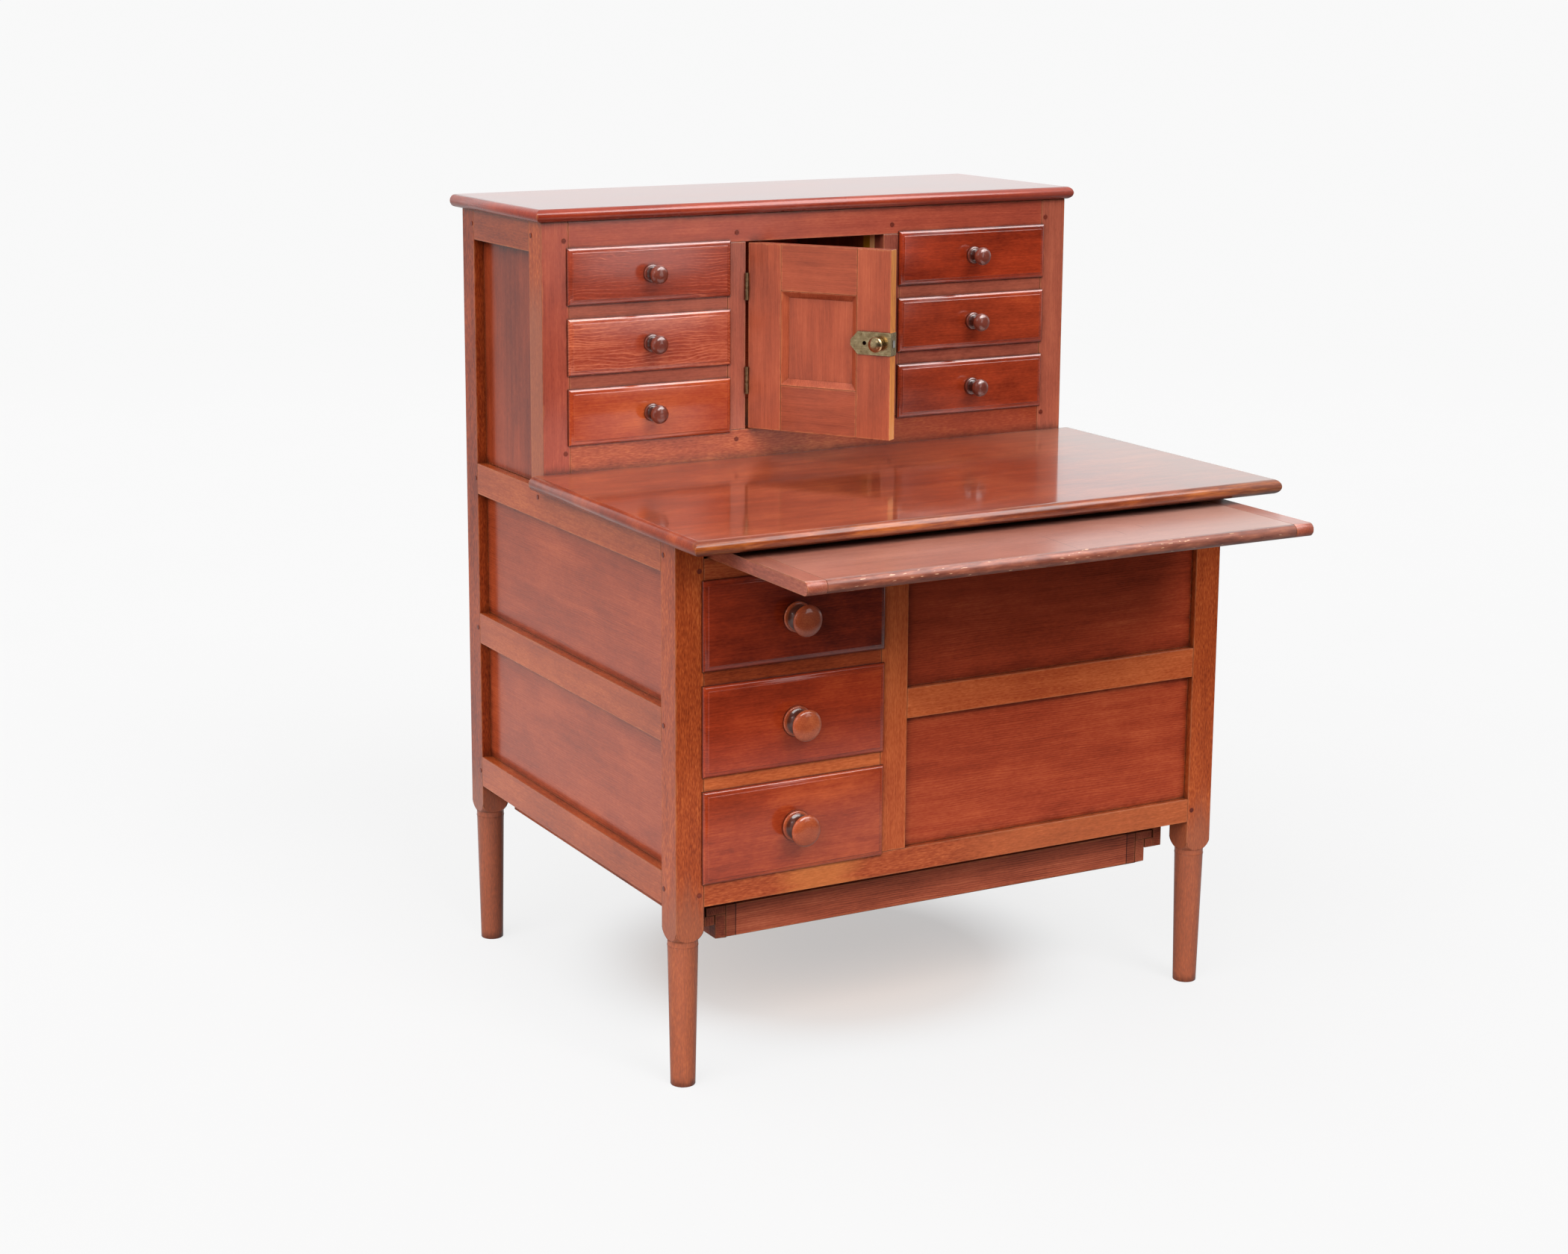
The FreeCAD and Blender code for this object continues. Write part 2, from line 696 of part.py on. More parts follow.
def drawer(label, wide, high, deep, place, angle):
    """A lipped front, two sides, a back and a bottom, as five pieces of wood in one node."""
    lip = block(
        label + "_lip", "( %s ) + 2 * lip_lap" % wide, "lip_thick", "( %s ) + 2 * lip_lap" % high
    )
    put(lip, "0 - lip_lap", "0 - lip_thick", "0 - lip_lap")
    doc.recompute()
    rounded = doc.addObject("Part::Fillet", label + "_lip_rounded")
    rounded.Base = lip
    radius = sheet.get("lip_round")
    front_y = lip.Shape.BoundBox.YMin
    rounded.Edges = [
        (number, radius, radius)
        for number, edge in enumerate(lip.Shape.Edges, start=1)
        if edge.BoundBox.YMax < front_y + radius
    ]
    inner = block(
        label + "_inner", "( %s ) - 2 * drawer_gap" % wide, "front_inner_thick",
        "( %s ) - drawer_gap - rest_gap" % high,
    )
    put(inner, "drawer_gap", "0", "rest_gap")
    front = joined(label + "_front", [rounded, inner])
    wall_high = "( %s ) - drawer_gap - rest_gap - drawer_side_drop" % high
    wall_long = "( %s ) - front_inner_thick" % deep
    pieces = [front]
    for name, x in (("left", "drawer_gap"), ("right", "( %s ) - drawer_gap - drawer_side_thick" % wide)):
        wall = block("%s_%s_wall" % (label, name), "drawer_side_thick", wall_long, wall_high)
        pieces.append(put(wall, x, "front_inner_thick", "rest_gap"))
    inside = "drawer_gap + drawer_side_thick"
    inside_wide = "( %s ) - 2 * ( %s )" % (wide, inside)
    back = block(label + "_back", inside_wide, "drawer_side_thick", wall_high)
    pieces.append(put(back, inside, "( %s ) - drawer_side_thick" % deep, "rest_gap"))
    bottom = block(
        label + "_bottom", inside_wide, wall_long + " - drawer_side_thick", "drawer_bottom_thick"
    )
    pieces.append(put(bottom, inside, "front_inner_thick", "rest_gap + drawer_bottom_rise"))
    made = group(label, pieces)
    turn(made, Z_AXIS, angle)
    return node(put_in_desk(made, *place))


def knob_form(label, kind):
    """A turned knob that stands up from its flange: rounded flange, waisted neck and domed head."""
    half_flange = kind + "_flange_thick / 2"
    half_neck = "( {0}_length - {0}_flange_thick - {0}_head_half ) / 2".format(kind)
    rim_radius = "%s_flange_radius - %s" % (kind, half_flange)
    flange = rod(label + "_flange", rim_radius, kind + "_flange_thick")
    rim = bind(doc.addObject("Part::Torus", label + "_rim"), Radius1=rim_radius, Radius2=half_flange)
    put(rim, "0", "0", half_flange)
    lower_neck = bind(
        doc.addObject("Part::Cone", label + "_lower_neck"),
        Radius1=kind + "_neck_radius", Radius2=kind + "_waist_radius", Height=half_neck,
    )
    put(lower_neck, "0", "0", kind + "_flange_thick")
    upper_neck = bind(
        doc.addObject("Part::Cone", label + "_upper_neck"),
        Radius1=kind + "_waist_radius", Radius2=kind + "_neck_radius", Height=half_neck,
    )
    put(upper_neck, "0", "0", "%s_flange_thick + %s" % (kind, half_neck))
    head = bind(
        doc.addObject("Part::Ellipsoid", label + "_head"),
        Radius1=kind + "_head_half", Radius2=kind + "_head_radius", Radius3=kind + "_head_radius",
    )
    put(head, "0", "0", "{0}_length - {0}_head_half".format(kind))
    return joined(label, [flange, rim, lower_neck, upper_neck, head])


def front_knob(label, kind, x, y, z):
    made = turn(knob_form(label, kind), X_AXIS, 90)
    return node(put_in_desk(made, x, "( %s ) - lip_thick" % y, z))


GALLERY_DRAWER_DEEP = "( %s - gallery_front - gallery_drawer_behind )" % INSIDE_BACK
FRONT_DRAWER_DEEP = "( %s - front_drawer_behind )" % INSIDE_BACK
SIDE_DRAWER_DEEP = "( case_width - ( %s ) - side_drawer_behind )" % RIGHT_SHELF_X
for side_name, bay_x in (("left", "post_side"), ("right", RIGHT_BAY_X)):
    for level in (0, 1, 2):
        label = "gallery_drawer_%s_%d" % (side_name, level + 1)
        low = gallery_low(level)
        drawer(
            label, GALLERY_BAY_WIDE, GALLERY_DRAWER_HIGH, GALLERY_DRAWER_DEEP,
            (bay_x, "gallery_front", low), 0,
        )
        front_knob(
            label + "_knob", "small", bay_x + " + %s / 2" % GALLERY_BAY_WIDE, "gallery_front",
            "%s + %s / 2" % (low, GALLERY_DRAWER_HIGH),
        )

for level in ("low", "mid", "high"):
    label = "front_drawer_" + level
    drawer(
        label, "drawer_bay_width", DRAWER_HIGHS[level], FRONT_DRAWER_DEEP,
        ("post_side", "0", DRAWER_LOWS[level]), 0,
    )
    front_knob(
        label + "_knob", "big", "post_side + drawer_bay_width / 2", "0",
        "%s + %s / 2" % (DRAWER_LOWS[level], DRAWER_HIGHS[level]),
    )
    label = "side_drawer_" + level
    drawer(
        label, RAIL_LONG, DRAWER_HIGHS[level], SIDE_DRAWER_DEEP,
        ("case_width", "post_side", DRAWER_LOWS[level]), 90,
    )
    pair = []
    for name, y in (
        ("front", "post_side + side_knob_inset"),
        ("rear", "case_depth - post_side - side_knob_inset"),
    ):
        knob = turn(knob_form("%s_%s_knob" % (label, name), "big"), Y_AXIS, 90)
        pair.append(put_in_desk(
            knob, "case_width + lip_thick", y, "%s + %s / 2" % (DRAWER_LOWS[level], DRAWER_HIGHS[level])
        ))
    node(group(label + "_knobs", pair))

# Door: its pieces are made shut, with the hinge pin at the origin, then swung open together

PIVOT_X = DOOR_X + " + door_gap / 2"
PIVOT_Y = "gallery_front - pivot_forward"
DOOR_LOW = GALLERY_LOW + " + door_high_gap"
DOOR_HIGH = GALLERY_OPEN_HIGH + " - 2 * door_high_gap"
DOOR_LEFT = "door_gap / 2 + leaf_thick"
DOOR_EDGE = "door_opening_wide" + " - door_gap / 2 - door_gap"
DOOR_RIGHT = DOOR_EDGE + " - plate_thick"
DOOR_FRONT = "pivot_forward"
PLATE_FACE = DOOR_FRONT + " - plate_thick"


def swung(thing):
    """Turns a finished piece of the door about the hinge pin to where the door stands open."""
    turn(thing, -Z_AXIS, 1)
    put_in_desk(thing, PIVOT_X, PIVOT_Y, "0")
    thing.setExpression("Placement.Rotation.Angle", s("door_angle"))
    return node(thing)


def door_block(name, x, y, z, wide, deep, high):
    return put(block(name, wide, deep, high), x, y, z)


def facing_rod(name, x, y, z, radius, length):
    """A round piece whose axis comes out of the door's face, from depth y forwards."""
    return put(turn(rod(name, radius, length), X_AXIS, 90), x, y, z)


LOCK_STILE_X = DOOR_RIGHT + " - door_stile"
BETWEEN_X = DOOR_LEFT + " + door_stile"
BETWEEN_WIDE = "%s - ( %s )" % (LOCK_STILE_X, BETWEEN_X)
BOLT_Y = DOOR_FRONT + " + door_thick / 2 - bolt_thick / 2"
BOLT_FRONT_GAP = BOLT_Y + " - bolt_clearance"
KNOB_X = DOOR_EDGE + " - lock_knob_inset"
KEY_X = DOOR_EDGE + " - keyhole_inset"

lock_stile = door_block(
    "door_lock_stile_blank", LOCK_STILE_X, DOOR_FRONT, DOOR_LOW, "door_stile", "door_thick", DOOR_HIGH
)
bolt_pocket = door_block(
    "bolt_pocket", DOOR_EDGE + " - bolt_long", BOLT_FRONT_GAP,
    LOCK_Z + " - bolt_high / 2 - bolt_clearance",
    "bolt_long + bolt_travel", "bolt_thick + 2 * bolt_clearance", "bolt_high + 2 * bolt_clearance",
)
spindle_way = facing_rod(
    "spindle_way", KNOB_X, BOLT_Y, LOCK_Z, "spindle_radius + bolt_clearance", "door_thick"
)
key_way = facing_rod(
    "key_way", KEY_X, DOOR_FRONT + " + keyhole_deep", LOCK_Z, "keyhole_radius", "door_thick"
)
swung(group("door_frame", [
    door_block("door_hinge_stile", DOOR_LEFT, DOOR_FRONT, DOOR_LOW, "door_stile", "door_thick", DOOR_HIGH),
    cut("door_lock_stile", lock_stile, joined("lock_hollows", [bolt_pocket, spindle_way, key_way])),
    door_block("door_bottom_rail", BETWEEN_X, DOOR_FRONT, DOOR_LOW, BETWEEN_WIDE, "door_thick", "door_rail"),
    door_block(
        "door_top_rail", BETWEEN_X, DOOR_FRONT, "%s + %s - door_rail" % (DOOR_LOW, DOOR_HIGH),
        BETWEEN_WIDE, "door_thick", "door_rail",
    ),
]))

PANEL_LOW = DOOR_LOW + " + door_rail"
PANEL_HIGH = DOOR_HIGH + " - 2 * door_rail"
panel = door_block(
    "door_flat_panel", BETWEEN_X, DOOR_FRONT + " + door_panel_recess", PANEL_LOW,
    BETWEEN_WIDE, "door_panel_thick", PANEL_HIGH,
)
moulding_blank = door_block(
    "door_moulding_blank", BETWEEN_X, DOOR_FRONT, PANEL_LOW, BETWEEN_WIDE, "door_panel_recess", PANEL_HIGH
)
moulding_slope = bind(
    doc.addObject("Part::Wedge", "door_moulding_slope"),
    Xmin="0", Ymin="0", Zmin="0",
    Xmax=BETWEEN_WIDE + " - 2 * door_moulding_flat",
    Ymax="door_panel_recess",
    Zmax=PANEL_HIGH + " - 2 * door_moulding_flat",
    X2min="door_moulding",
    X2max=BETWEEN_WIDE + " - 2 * door_moulding_flat - door_moulding",
    Z2min="door_moulding",
    Z2max=PANEL_HIGH + " - 2 * door_moulding_flat - door_moulding",
)
put(
    moulding_slope, BETWEEN_X + " + door_moulding_flat", DOOR_FRONT, PANEL_LOW + " + door_moulding_flat"
)
swung(group("door_panel", [panel, cut("door_moulding", moulding_blank, moulding_slope)]))

# Lock: a plate with a point, folded over the door's edge, a knob and the bolt that it draws

PLATE_X = DOOR_EDGE + " - plate_long"
PLATE_LOW = LOCK_Z + " - plate_high / 2"
point = bind(
    doc.addObject("Part::Wedge", "plate_point_blank"),
    Xmin="0", Ymin="0", Zmin="0", X2min="0",
    Xmax="plate_thick", X2max="plate_thick", Ymax="plate_point", Zmax="plate_high",
    Z2min="( plate_high - plate_tip ) / 2", Z2max="( plate_high + plate_tip ) / 2",
)
put(turn(point, Z_AXIS, 90), PLATE_X, PLATE_FACE, PLATE_LOW)
plate_parts = [
    door_block(
        "lock_face_plate", PLATE_X, PLATE_FACE, PLATE_LOW, "plate_long", "plate_thick", "plate_high"
    ),
    door_block(
        "lock_edge_plate", DOOR_RIGHT, DOOR_FRONT, PLATE_LOW, "plate_thick", "door_thick", "plate_high"
    ),
    point,
]
for name, z in (
    ("low", PLATE_LOW + " + plate_pin_inset"), ("high", PLATE_LOW + " + plate_high - plate_pin_inset")
):
    plate_parts.append(facing_rod(
        "plate_pin_" + name, PLATE_X + " + plate_pin_inset", DOOR_FRONT, z,
        "plate_pin_radius", "plate_thick + plate_pin_proud",
    ))
plate_hollows = [
    bolt_pocket,
    facing_rod(
        "plate_spindle_hole", KNOB_X, BOLT_Y, LOCK_Z,
        "spindle_radius + spindle_clearance", "door_thick",
    ),
    key_way,
]
swung(cut("lock_plate", joined("lock_plate_solid", plate_parts), joined("plate_hollows", plate_hollows)))

KNOB_HEAD_OUT = "lock_knob_long - lock_knob_half"
lock_head = bind(
    doc.addObject("Part::Ellipsoid", "lock_knob_head"),
    Radius1="lock_knob_half", Radius2="lock_knob_radius", Radius3="lock_knob_radius",
)
put(turn(lock_head, X_AXIS, 90), KNOB_X, "%s - ( %s )" % (PLATE_FACE, KNOB_HEAD_OUT), LOCK_Z)
swung(joined("lock_knob", [
    facing_rod(
        "lock_spindle", KNOB_X, BOLT_FRONT_GAP, LOCK_Z, "spindle_radius",
        "%s - ( %s ) + %s" % (BOLT_FRONT_GAP, PLATE_FACE, KNOB_HEAD_OUT),
    ),
    facing_rod(
        "lock_collar", KNOB_X, PLATE_FACE + " - rest_gap", LOCK_Z,
        "lock_collar_radius", "lock_collar_thick",
    ),
    lock_head,
]))
swung(group("lock_bolt", [door_block(
    "lock_bolt_bar", DOOR_EDGE + " + bolt_proud - bolt_long", BOLT_Y, LOCK_Z + " - bolt_high / 2",
    "bolt_long", "bolt_thick", "bolt_high",
)]))

# Hinges: three knuckles on a pin, the middle one on the door's leaf

KNUCKLE_LONG = "( hinge_long - 2 * rest_gap ) / 3"
case_brass = []
door_leaves = []
for name, centre in (
    ("low", GALLERY_LOW + " + hinge_low_inset"), ("high", GALLERY_TOP + " - hinge_high_inset")
):
    foot = centre + " - hinge_long / 2"
    outer = (foot, "%s + 2 * ( %s + rest_gap )" % (foot, KNUCKLE_LONG))
    middle = "%s + %s + rest_gap" % (foot, KNUCKLE_LONG)
    solids = []
    for number, low in enumerate(outer):
        solids.append(put_in_desk(
            rod("case_knuckle_%s_%d" % (name, number), "knuckle_radius", KNUCKLE_LONG), PIVOT_X, PIVOT_Y, low
        ))
        solids.append(board(
            "case_tab_%s_%d" % (name, number), DOOR_X, PIVOT_Y, low,
            "leaf_thick", "pivot_forward", KNUCKLE_LONG,
        ))
    solids.append(put_in_desk(rod("hinge_pin_" + name, "pin_radius", "hinge_long"), PIVOT_X, PIVOT_Y, foot))
    solids.append(board(
        "case_leaf_" + name, DOOR_X, "gallery_front", foot, "leaf_thick", "leaf_width", "hinge_long"
    ))
    case_brass.append(joined("case_hinge_" + name, solids))
    moving = joined("door_hinge_solid_" + name, [
        put(rod("door_knuckle_" + name, "knuckle_radius", KNUCKLE_LONG), "0", "0", middle),
        door_block(
            "door_tab_" + name, "door_gap / 2", "0", middle, "leaf_thick", "pivot_forward", KNUCKLE_LONG
        ),
        door_block(
            "door_leaf_" + name, "door_gap / 2", DOOR_FRONT, foot, "leaf_thick", "leaf_width", "hinge_long"
        ),
    ])
    bore = put(rod("hinge_bore_" + name, "pin_radius + pin_clearance", "hinge_long"), "0", "0", foot)
    door_leaves.append(cut("door_hinge_" + name, moving, bore))
case_brass.append(board(
    "strike_plate", RIGHT_MUNTIN_X + " + drawer_gap", "gallery_front - strike_thick",
    LOCK_Z + " - strike_high / 2", "strike_width", "strike_thick", "strike_high",
))
node(group("case_door_brass", case_brass))
swung(group("door_hinge_leaves", door_leaves))

# Pegs through the joints, of which only the heads stand out

pegs = []


def front_peg(x, y, z):
    name = "peg_%d" % len(pegs)
    pegs.append(put_in_desk(turn(rod(name, "peg_radius", "peg_proud"), X_AXIS, 90), x, y, z))


def side_peg(side_name, y, z):
    face, angle = ("0", -90) if side_name == "left" else ("case_width", 90)
    peg = turn(rod("peg_%d" % len(pegs), "peg_radius", "peg_proud"), Y_AXIS, angle)
    pegs.append(put_in_desk(peg, face, y, z))


GALLERY_PEG_XS = (
    "post_side - peg_inset",
    DOOR_X + " - gallery_muntin_width / 2",
    RIGHT_MUNTIN_X + " + gallery_muntin_width / 2",
    "case_width - post_side + peg_inset",
)
for peg_x in GALLERY_PEG_XS:
    front_peg(peg_x, "gallery_front", GALLERY_TOP + " + 2 * peg_inset")
    front_peg(peg_x, "gallery_front", GALLERY_LOW + " - 2 * peg_inset")
for peg_x in (GALLERY_PEG_XS[0], GALLERY_PEG_XS[-1]):
    front_peg(peg_x, "0", BAY_TOP + " + front_top_high / 2")
    front_peg(peg_x, "0", "front_bottom_low + front_bottom_high / 2")
NEAR_FRONT_POST = "post_side - peg_inset"
NEAR_REAR_POST = "case_depth - post_side + peg_inset"
SIDE_PEG_ZS = {
    "left": ("bottom_rail_low", SIDE_MID_RAIL_LOW, SIDE_TOP_RAIL_LOW),
    "right": ("bottom_rail_low", SIDE_TOP_RAIL_LOW),
}
for side_name, lows in SIDE_PEG_ZS.items():
    for low in lows:
        for peg_y in (NEAR_FRONT_POST, NEAR_REAR_POST):
            side_peg(side_name, peg_y, low + " + side_rail_high / 2")
    side_peg(side_name, "gallery_front + post_side / 2", WORK_LOW + " - 2 * peg_inset")
    for peg_y in ("gallery_front + post_side - peg_inset", NEAR_REAR_POST):
        side_peg(side_name, peg_y, GALLERY_SIDE_RAIL_LOW + " + side_rail_high / 2")
node(group("pegs", pegs))

doc.recompute()

os.makedirs("parts", exist_ok=True)
for thing in NODES:
    if "Invalid" in thing.State or "Error" in thing.State:
        raise RuntimeError("%s did not build: %s" % (thing.Label, thing.State))
    if thing.Shape.isNull() or not thing.Shape.isValid():
        raise RuntimeError("%s has no valid shape" % thing.Label)
    thing.Shape.exportStep(os.path.join("parts", thing.Label + ".step"))
print("%d nodes" % len(NODES))
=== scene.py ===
"""Looks of a sewing desk: stained and varnished boards, turned knobs, old brass, a pale studio floor."""

import json
import math
import random
from collections import namedtuple

import bpy
import numpy as np
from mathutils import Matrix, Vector


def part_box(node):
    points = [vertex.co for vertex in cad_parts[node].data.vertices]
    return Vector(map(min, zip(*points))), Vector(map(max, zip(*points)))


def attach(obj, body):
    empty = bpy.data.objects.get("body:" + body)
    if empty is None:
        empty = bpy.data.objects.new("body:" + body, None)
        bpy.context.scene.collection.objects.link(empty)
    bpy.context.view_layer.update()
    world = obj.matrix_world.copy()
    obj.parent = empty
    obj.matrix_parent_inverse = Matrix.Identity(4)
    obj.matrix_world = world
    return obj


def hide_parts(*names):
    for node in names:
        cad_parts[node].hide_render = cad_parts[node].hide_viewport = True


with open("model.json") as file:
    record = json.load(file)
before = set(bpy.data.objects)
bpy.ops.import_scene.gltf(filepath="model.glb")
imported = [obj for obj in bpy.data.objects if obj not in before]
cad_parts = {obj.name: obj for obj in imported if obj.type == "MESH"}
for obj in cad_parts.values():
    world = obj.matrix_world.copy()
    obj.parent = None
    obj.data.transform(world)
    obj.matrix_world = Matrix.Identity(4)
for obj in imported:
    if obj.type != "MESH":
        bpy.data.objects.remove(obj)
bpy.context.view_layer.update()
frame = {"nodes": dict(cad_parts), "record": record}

NODES = frame["nodes"]
BODIES = frame["record"]["behaviour"]["bodies"]
scene = bpy.context.scene

RIGHT = Vector((1, 0, 0))
BACK = Vector((0, 1, 0))
FORWARD = Vector((0, -1, 0))
UP = Vector((0, 0, 1))
WORLD_AXES = (RIGHT, BACK, UP)

# The door stands open by this angle, so its boards' own axes are turned with it
DOOR_OPEN = math.radians(57.0)
DOOR_NODES = ("door_frame", "door_panel", "door_hinge_leaves", "lock_plate", "lock_knob", "lock_bolt")
DOOR_AXES = (
    Vector((math.cos(DOOR_OPEN), -math.sin(DOOR_OPEN), 0)),
    Vector((math.sin(DOOR_OPEN), math.cos(DOOR_OPEN), 0)),
    UP,
)

# How much paler than its neighbours a board is stained; the top front drawer's is painted shade
# below the pull-out board; each solid varies by the spread as well
TINT_OF = {
    "front_muntin": 0.14,
    "front_dividers": 0.14,
    "front_panels": 0.09,
    "front_drawer_low": 0.05,
    "front_drawer_mid": 0.06,
    # painted shade: the top front drawer lies below the pull-out board
    "front_drawer_high": -0.2,
    "door_frame": -0.06,
    "door_panel": -0.02,
    "gallery_drawer_left_3": -0.1,
    "gallery_drawer_left_1": 0.2,
    "gallery_drawer_right_1": -0.16,
    "gallery_drawer_right_2": -0.14,
    "gallery_drawer_right_3": -0.13,
    "gallery_bottom_rail": 0.06,
    "post_rear_left": -0.2,
}
TINT_SPREAD = 0.04

# Boards above this height are the gallery's; its sides are darker, and its right dividers are stained
# darker
WORK_LEVEL = 0.62
GALLERY_SIDE_TINT = -0.2
RIGHT_DIVIDER_TINT = -0.14

# How much darker a node's highest board is painted than its others, as painted shade below the pull-out
# board
SHADE_BELOW_SLIDE = {"front_dividers": 0.3, "front_panels": 0.14}

# A face that stays this close to the door's free edge or to the partitions' front edge is bare wood
DOOR_EDGE_DEPTH = 0.0004
PARTITION_EDGE_DEPTH = 0.002


def tone(red, green, blue):
    """A colour as it is seen on a screen, 0 to 255, as the linear colour that the shaders take."""
    linear = []
    for value in (red, green, blue):
        share = value / 255.0
        linear.append(share / 12.92 if share <= 0.04045 else ((share + 0.055) / 1.055) ** 2.4)
    return (*linear, 1.0)


def grey(value):
    return (value, value, value, 1.0)


# Every solid gets its own axes: along the grain, across it and through the board


def solid_of_each_face(mesh):
    """The number of the closed solid of each face; a solid ends where no edge is left open."""
    places = {}
    place_of = []
    for vertex in mesh.vertices:
        key = (round(vertex.co.x, 6), round(vertex.co.y, 6), round(vertex.co.z, 6))
        place_of.append(places.setdefault(key, len(places)))
    solid = 0
    solids = []
    open_edges = set()
    for face in mesh.polygons:
        solids.append(solid)
        ring = [place_of[v] for v in face.vertices]
        for a, b in zip(ring, ring[1:] + ring[:1]):
            if a != b:
                open_edges ^= {(min(a, b), max(a, b))}
        if not open_edges:
            solid += 1
    return np.array(solids)


def read_mesh(mesh):
    """The place of every corner, and for each face its first corner and how many it has."""
    places = np.zeros(len(mesh.vertices) * 3)
    mesh.vertices.foreach_get("co", places)
    corner_vertex = np.zeros(len(mesh.loops), int)
    mesh.loops.foreach_get("vertex_index", corner_vertex)
    first_corners = np.zeros(len(mesh.polygons), int)
    corner_counts = np.zeros(len(mesh.polygons), int)
    mesh.polygons.foreach_get("loop_start", first_corners)
    mesh.polygons.foreach_get("loop_total", corner_counts)
    return places.reshape(-1, 3)[corner_vertex], first_corners, corner_counts


def grain_order(name, size):
    """The axes along, across and through a board; a knob's grain runs out of its drawer."""
    if "knob" in name:
        along = 0 if name.startswith("side") else 1
        return [along] + [axis for axis in (2, 1, 0) if axis != along]
    return sorted(range(3), key=lambda axis: -size[axis])


def tint_of_solid(name, low):
    """How much paler than usual the solid with this lowest corner is stained."""
    tint = TINT_OF.get(name, 0.0)
    if name in ("side_panels", "left_side_rails") and low[2] > WORK_LEVEL:
        tint += GALLERY_SIDE_TINT
    if name == "gallery_dividers" and low[0] > 0:
        tint += RIGHT_DIVIDER_TINT
    return tint


def give_grain(obj, name):
    """Stores each corner's place in its board, and each face's half sizes of the board and its looks."""
    mesh = obj.data
    corners, first_corners, corner_counts = read_mesh(mesh)
    solids = solid_of_each_face(mesh)
    corner_solid = np.repeat(solids, corner_counts)
    axes = DOOR_AXES if name in DOOR_NODES else WORLD_AXES
    turned = corners @ np.array([list(axis) for axis in axes]).T
    own = np.zeros((len(turned), 3))
    half = np.zeros((len(solids), 3))
    seed, bare, tint = (np.zeros(len(solids)) for _ in range(3))
    chooser = random.Random(name)
    fronts = {}
    tops = {}
    for number in range(int(solids.max()) + 1):
        mine = corner_solid == number
        faces = solids == number
        low = turned[mine].min(0)
        high = turned[mine].max(0)
        order = grain_order(name, high - low)
        own[mine] = (turned[mine] - (low + high) / 2)[:, order]
        half[faces] = ((high - low) / 2)[order]
        seed[faces] = chooser.random()
        tint[faces] = tint_of_solid(name, low) + chooser.uniform(-TINT_SPREAD, TINT_SPREAD)
        fronts[number] = -high[0] if name.startswith("side") else low[1]
        tops[number] = high[2]
    # the side drawers look the other way
    if name.startswith("side_drawer"):
        own[:, 0 if "knob" in name else 2] *= -1.0
    # painted shade: the highest board, below the pull-out board, is made darker
    if name in SHADE_BELOW_SLIDE:
        tint[solids == max(tops, key=tops.get)] -= SHADE_BELOW_SLIDE[name]
    # in a drawer only the front is stained; the box behind it is bare wood
    if "drawer" in name and "knob" not in name:
        bare[solids != min(fronts, key=fronts.get)] = 1.0
    if name == "door_frame":
        nearest = np.minimum.reduceat(turned[:, 0], first_corners)
        bare[nearest > turned[:, 0].max() - DOOR_EDGE_DEPTH] = 1.0
    if name == "gallery_boards":
        furthest = np.maximum.reduceat(turned[:, 1], first_corners)
        bare[furthest < turned[:, 1].min() + PARTITION_EDGE_DEPTH] = 1.0
    mesh.attributes.new("own", "FLOAT_VECTOR", "CORNER").data.foreach_set("vector", own.ravel())
    mesh.attributes.new("half", "FLOAT_VECTOR", "FACE").data.foreach_set("vector", half.ravel())
    for key, values in (("seed", seed), ("bare", bare), ("tint", tint)):
        mesh.attributes.new(key, "FLOAT", "FACE").data.foreach_set("value", values)


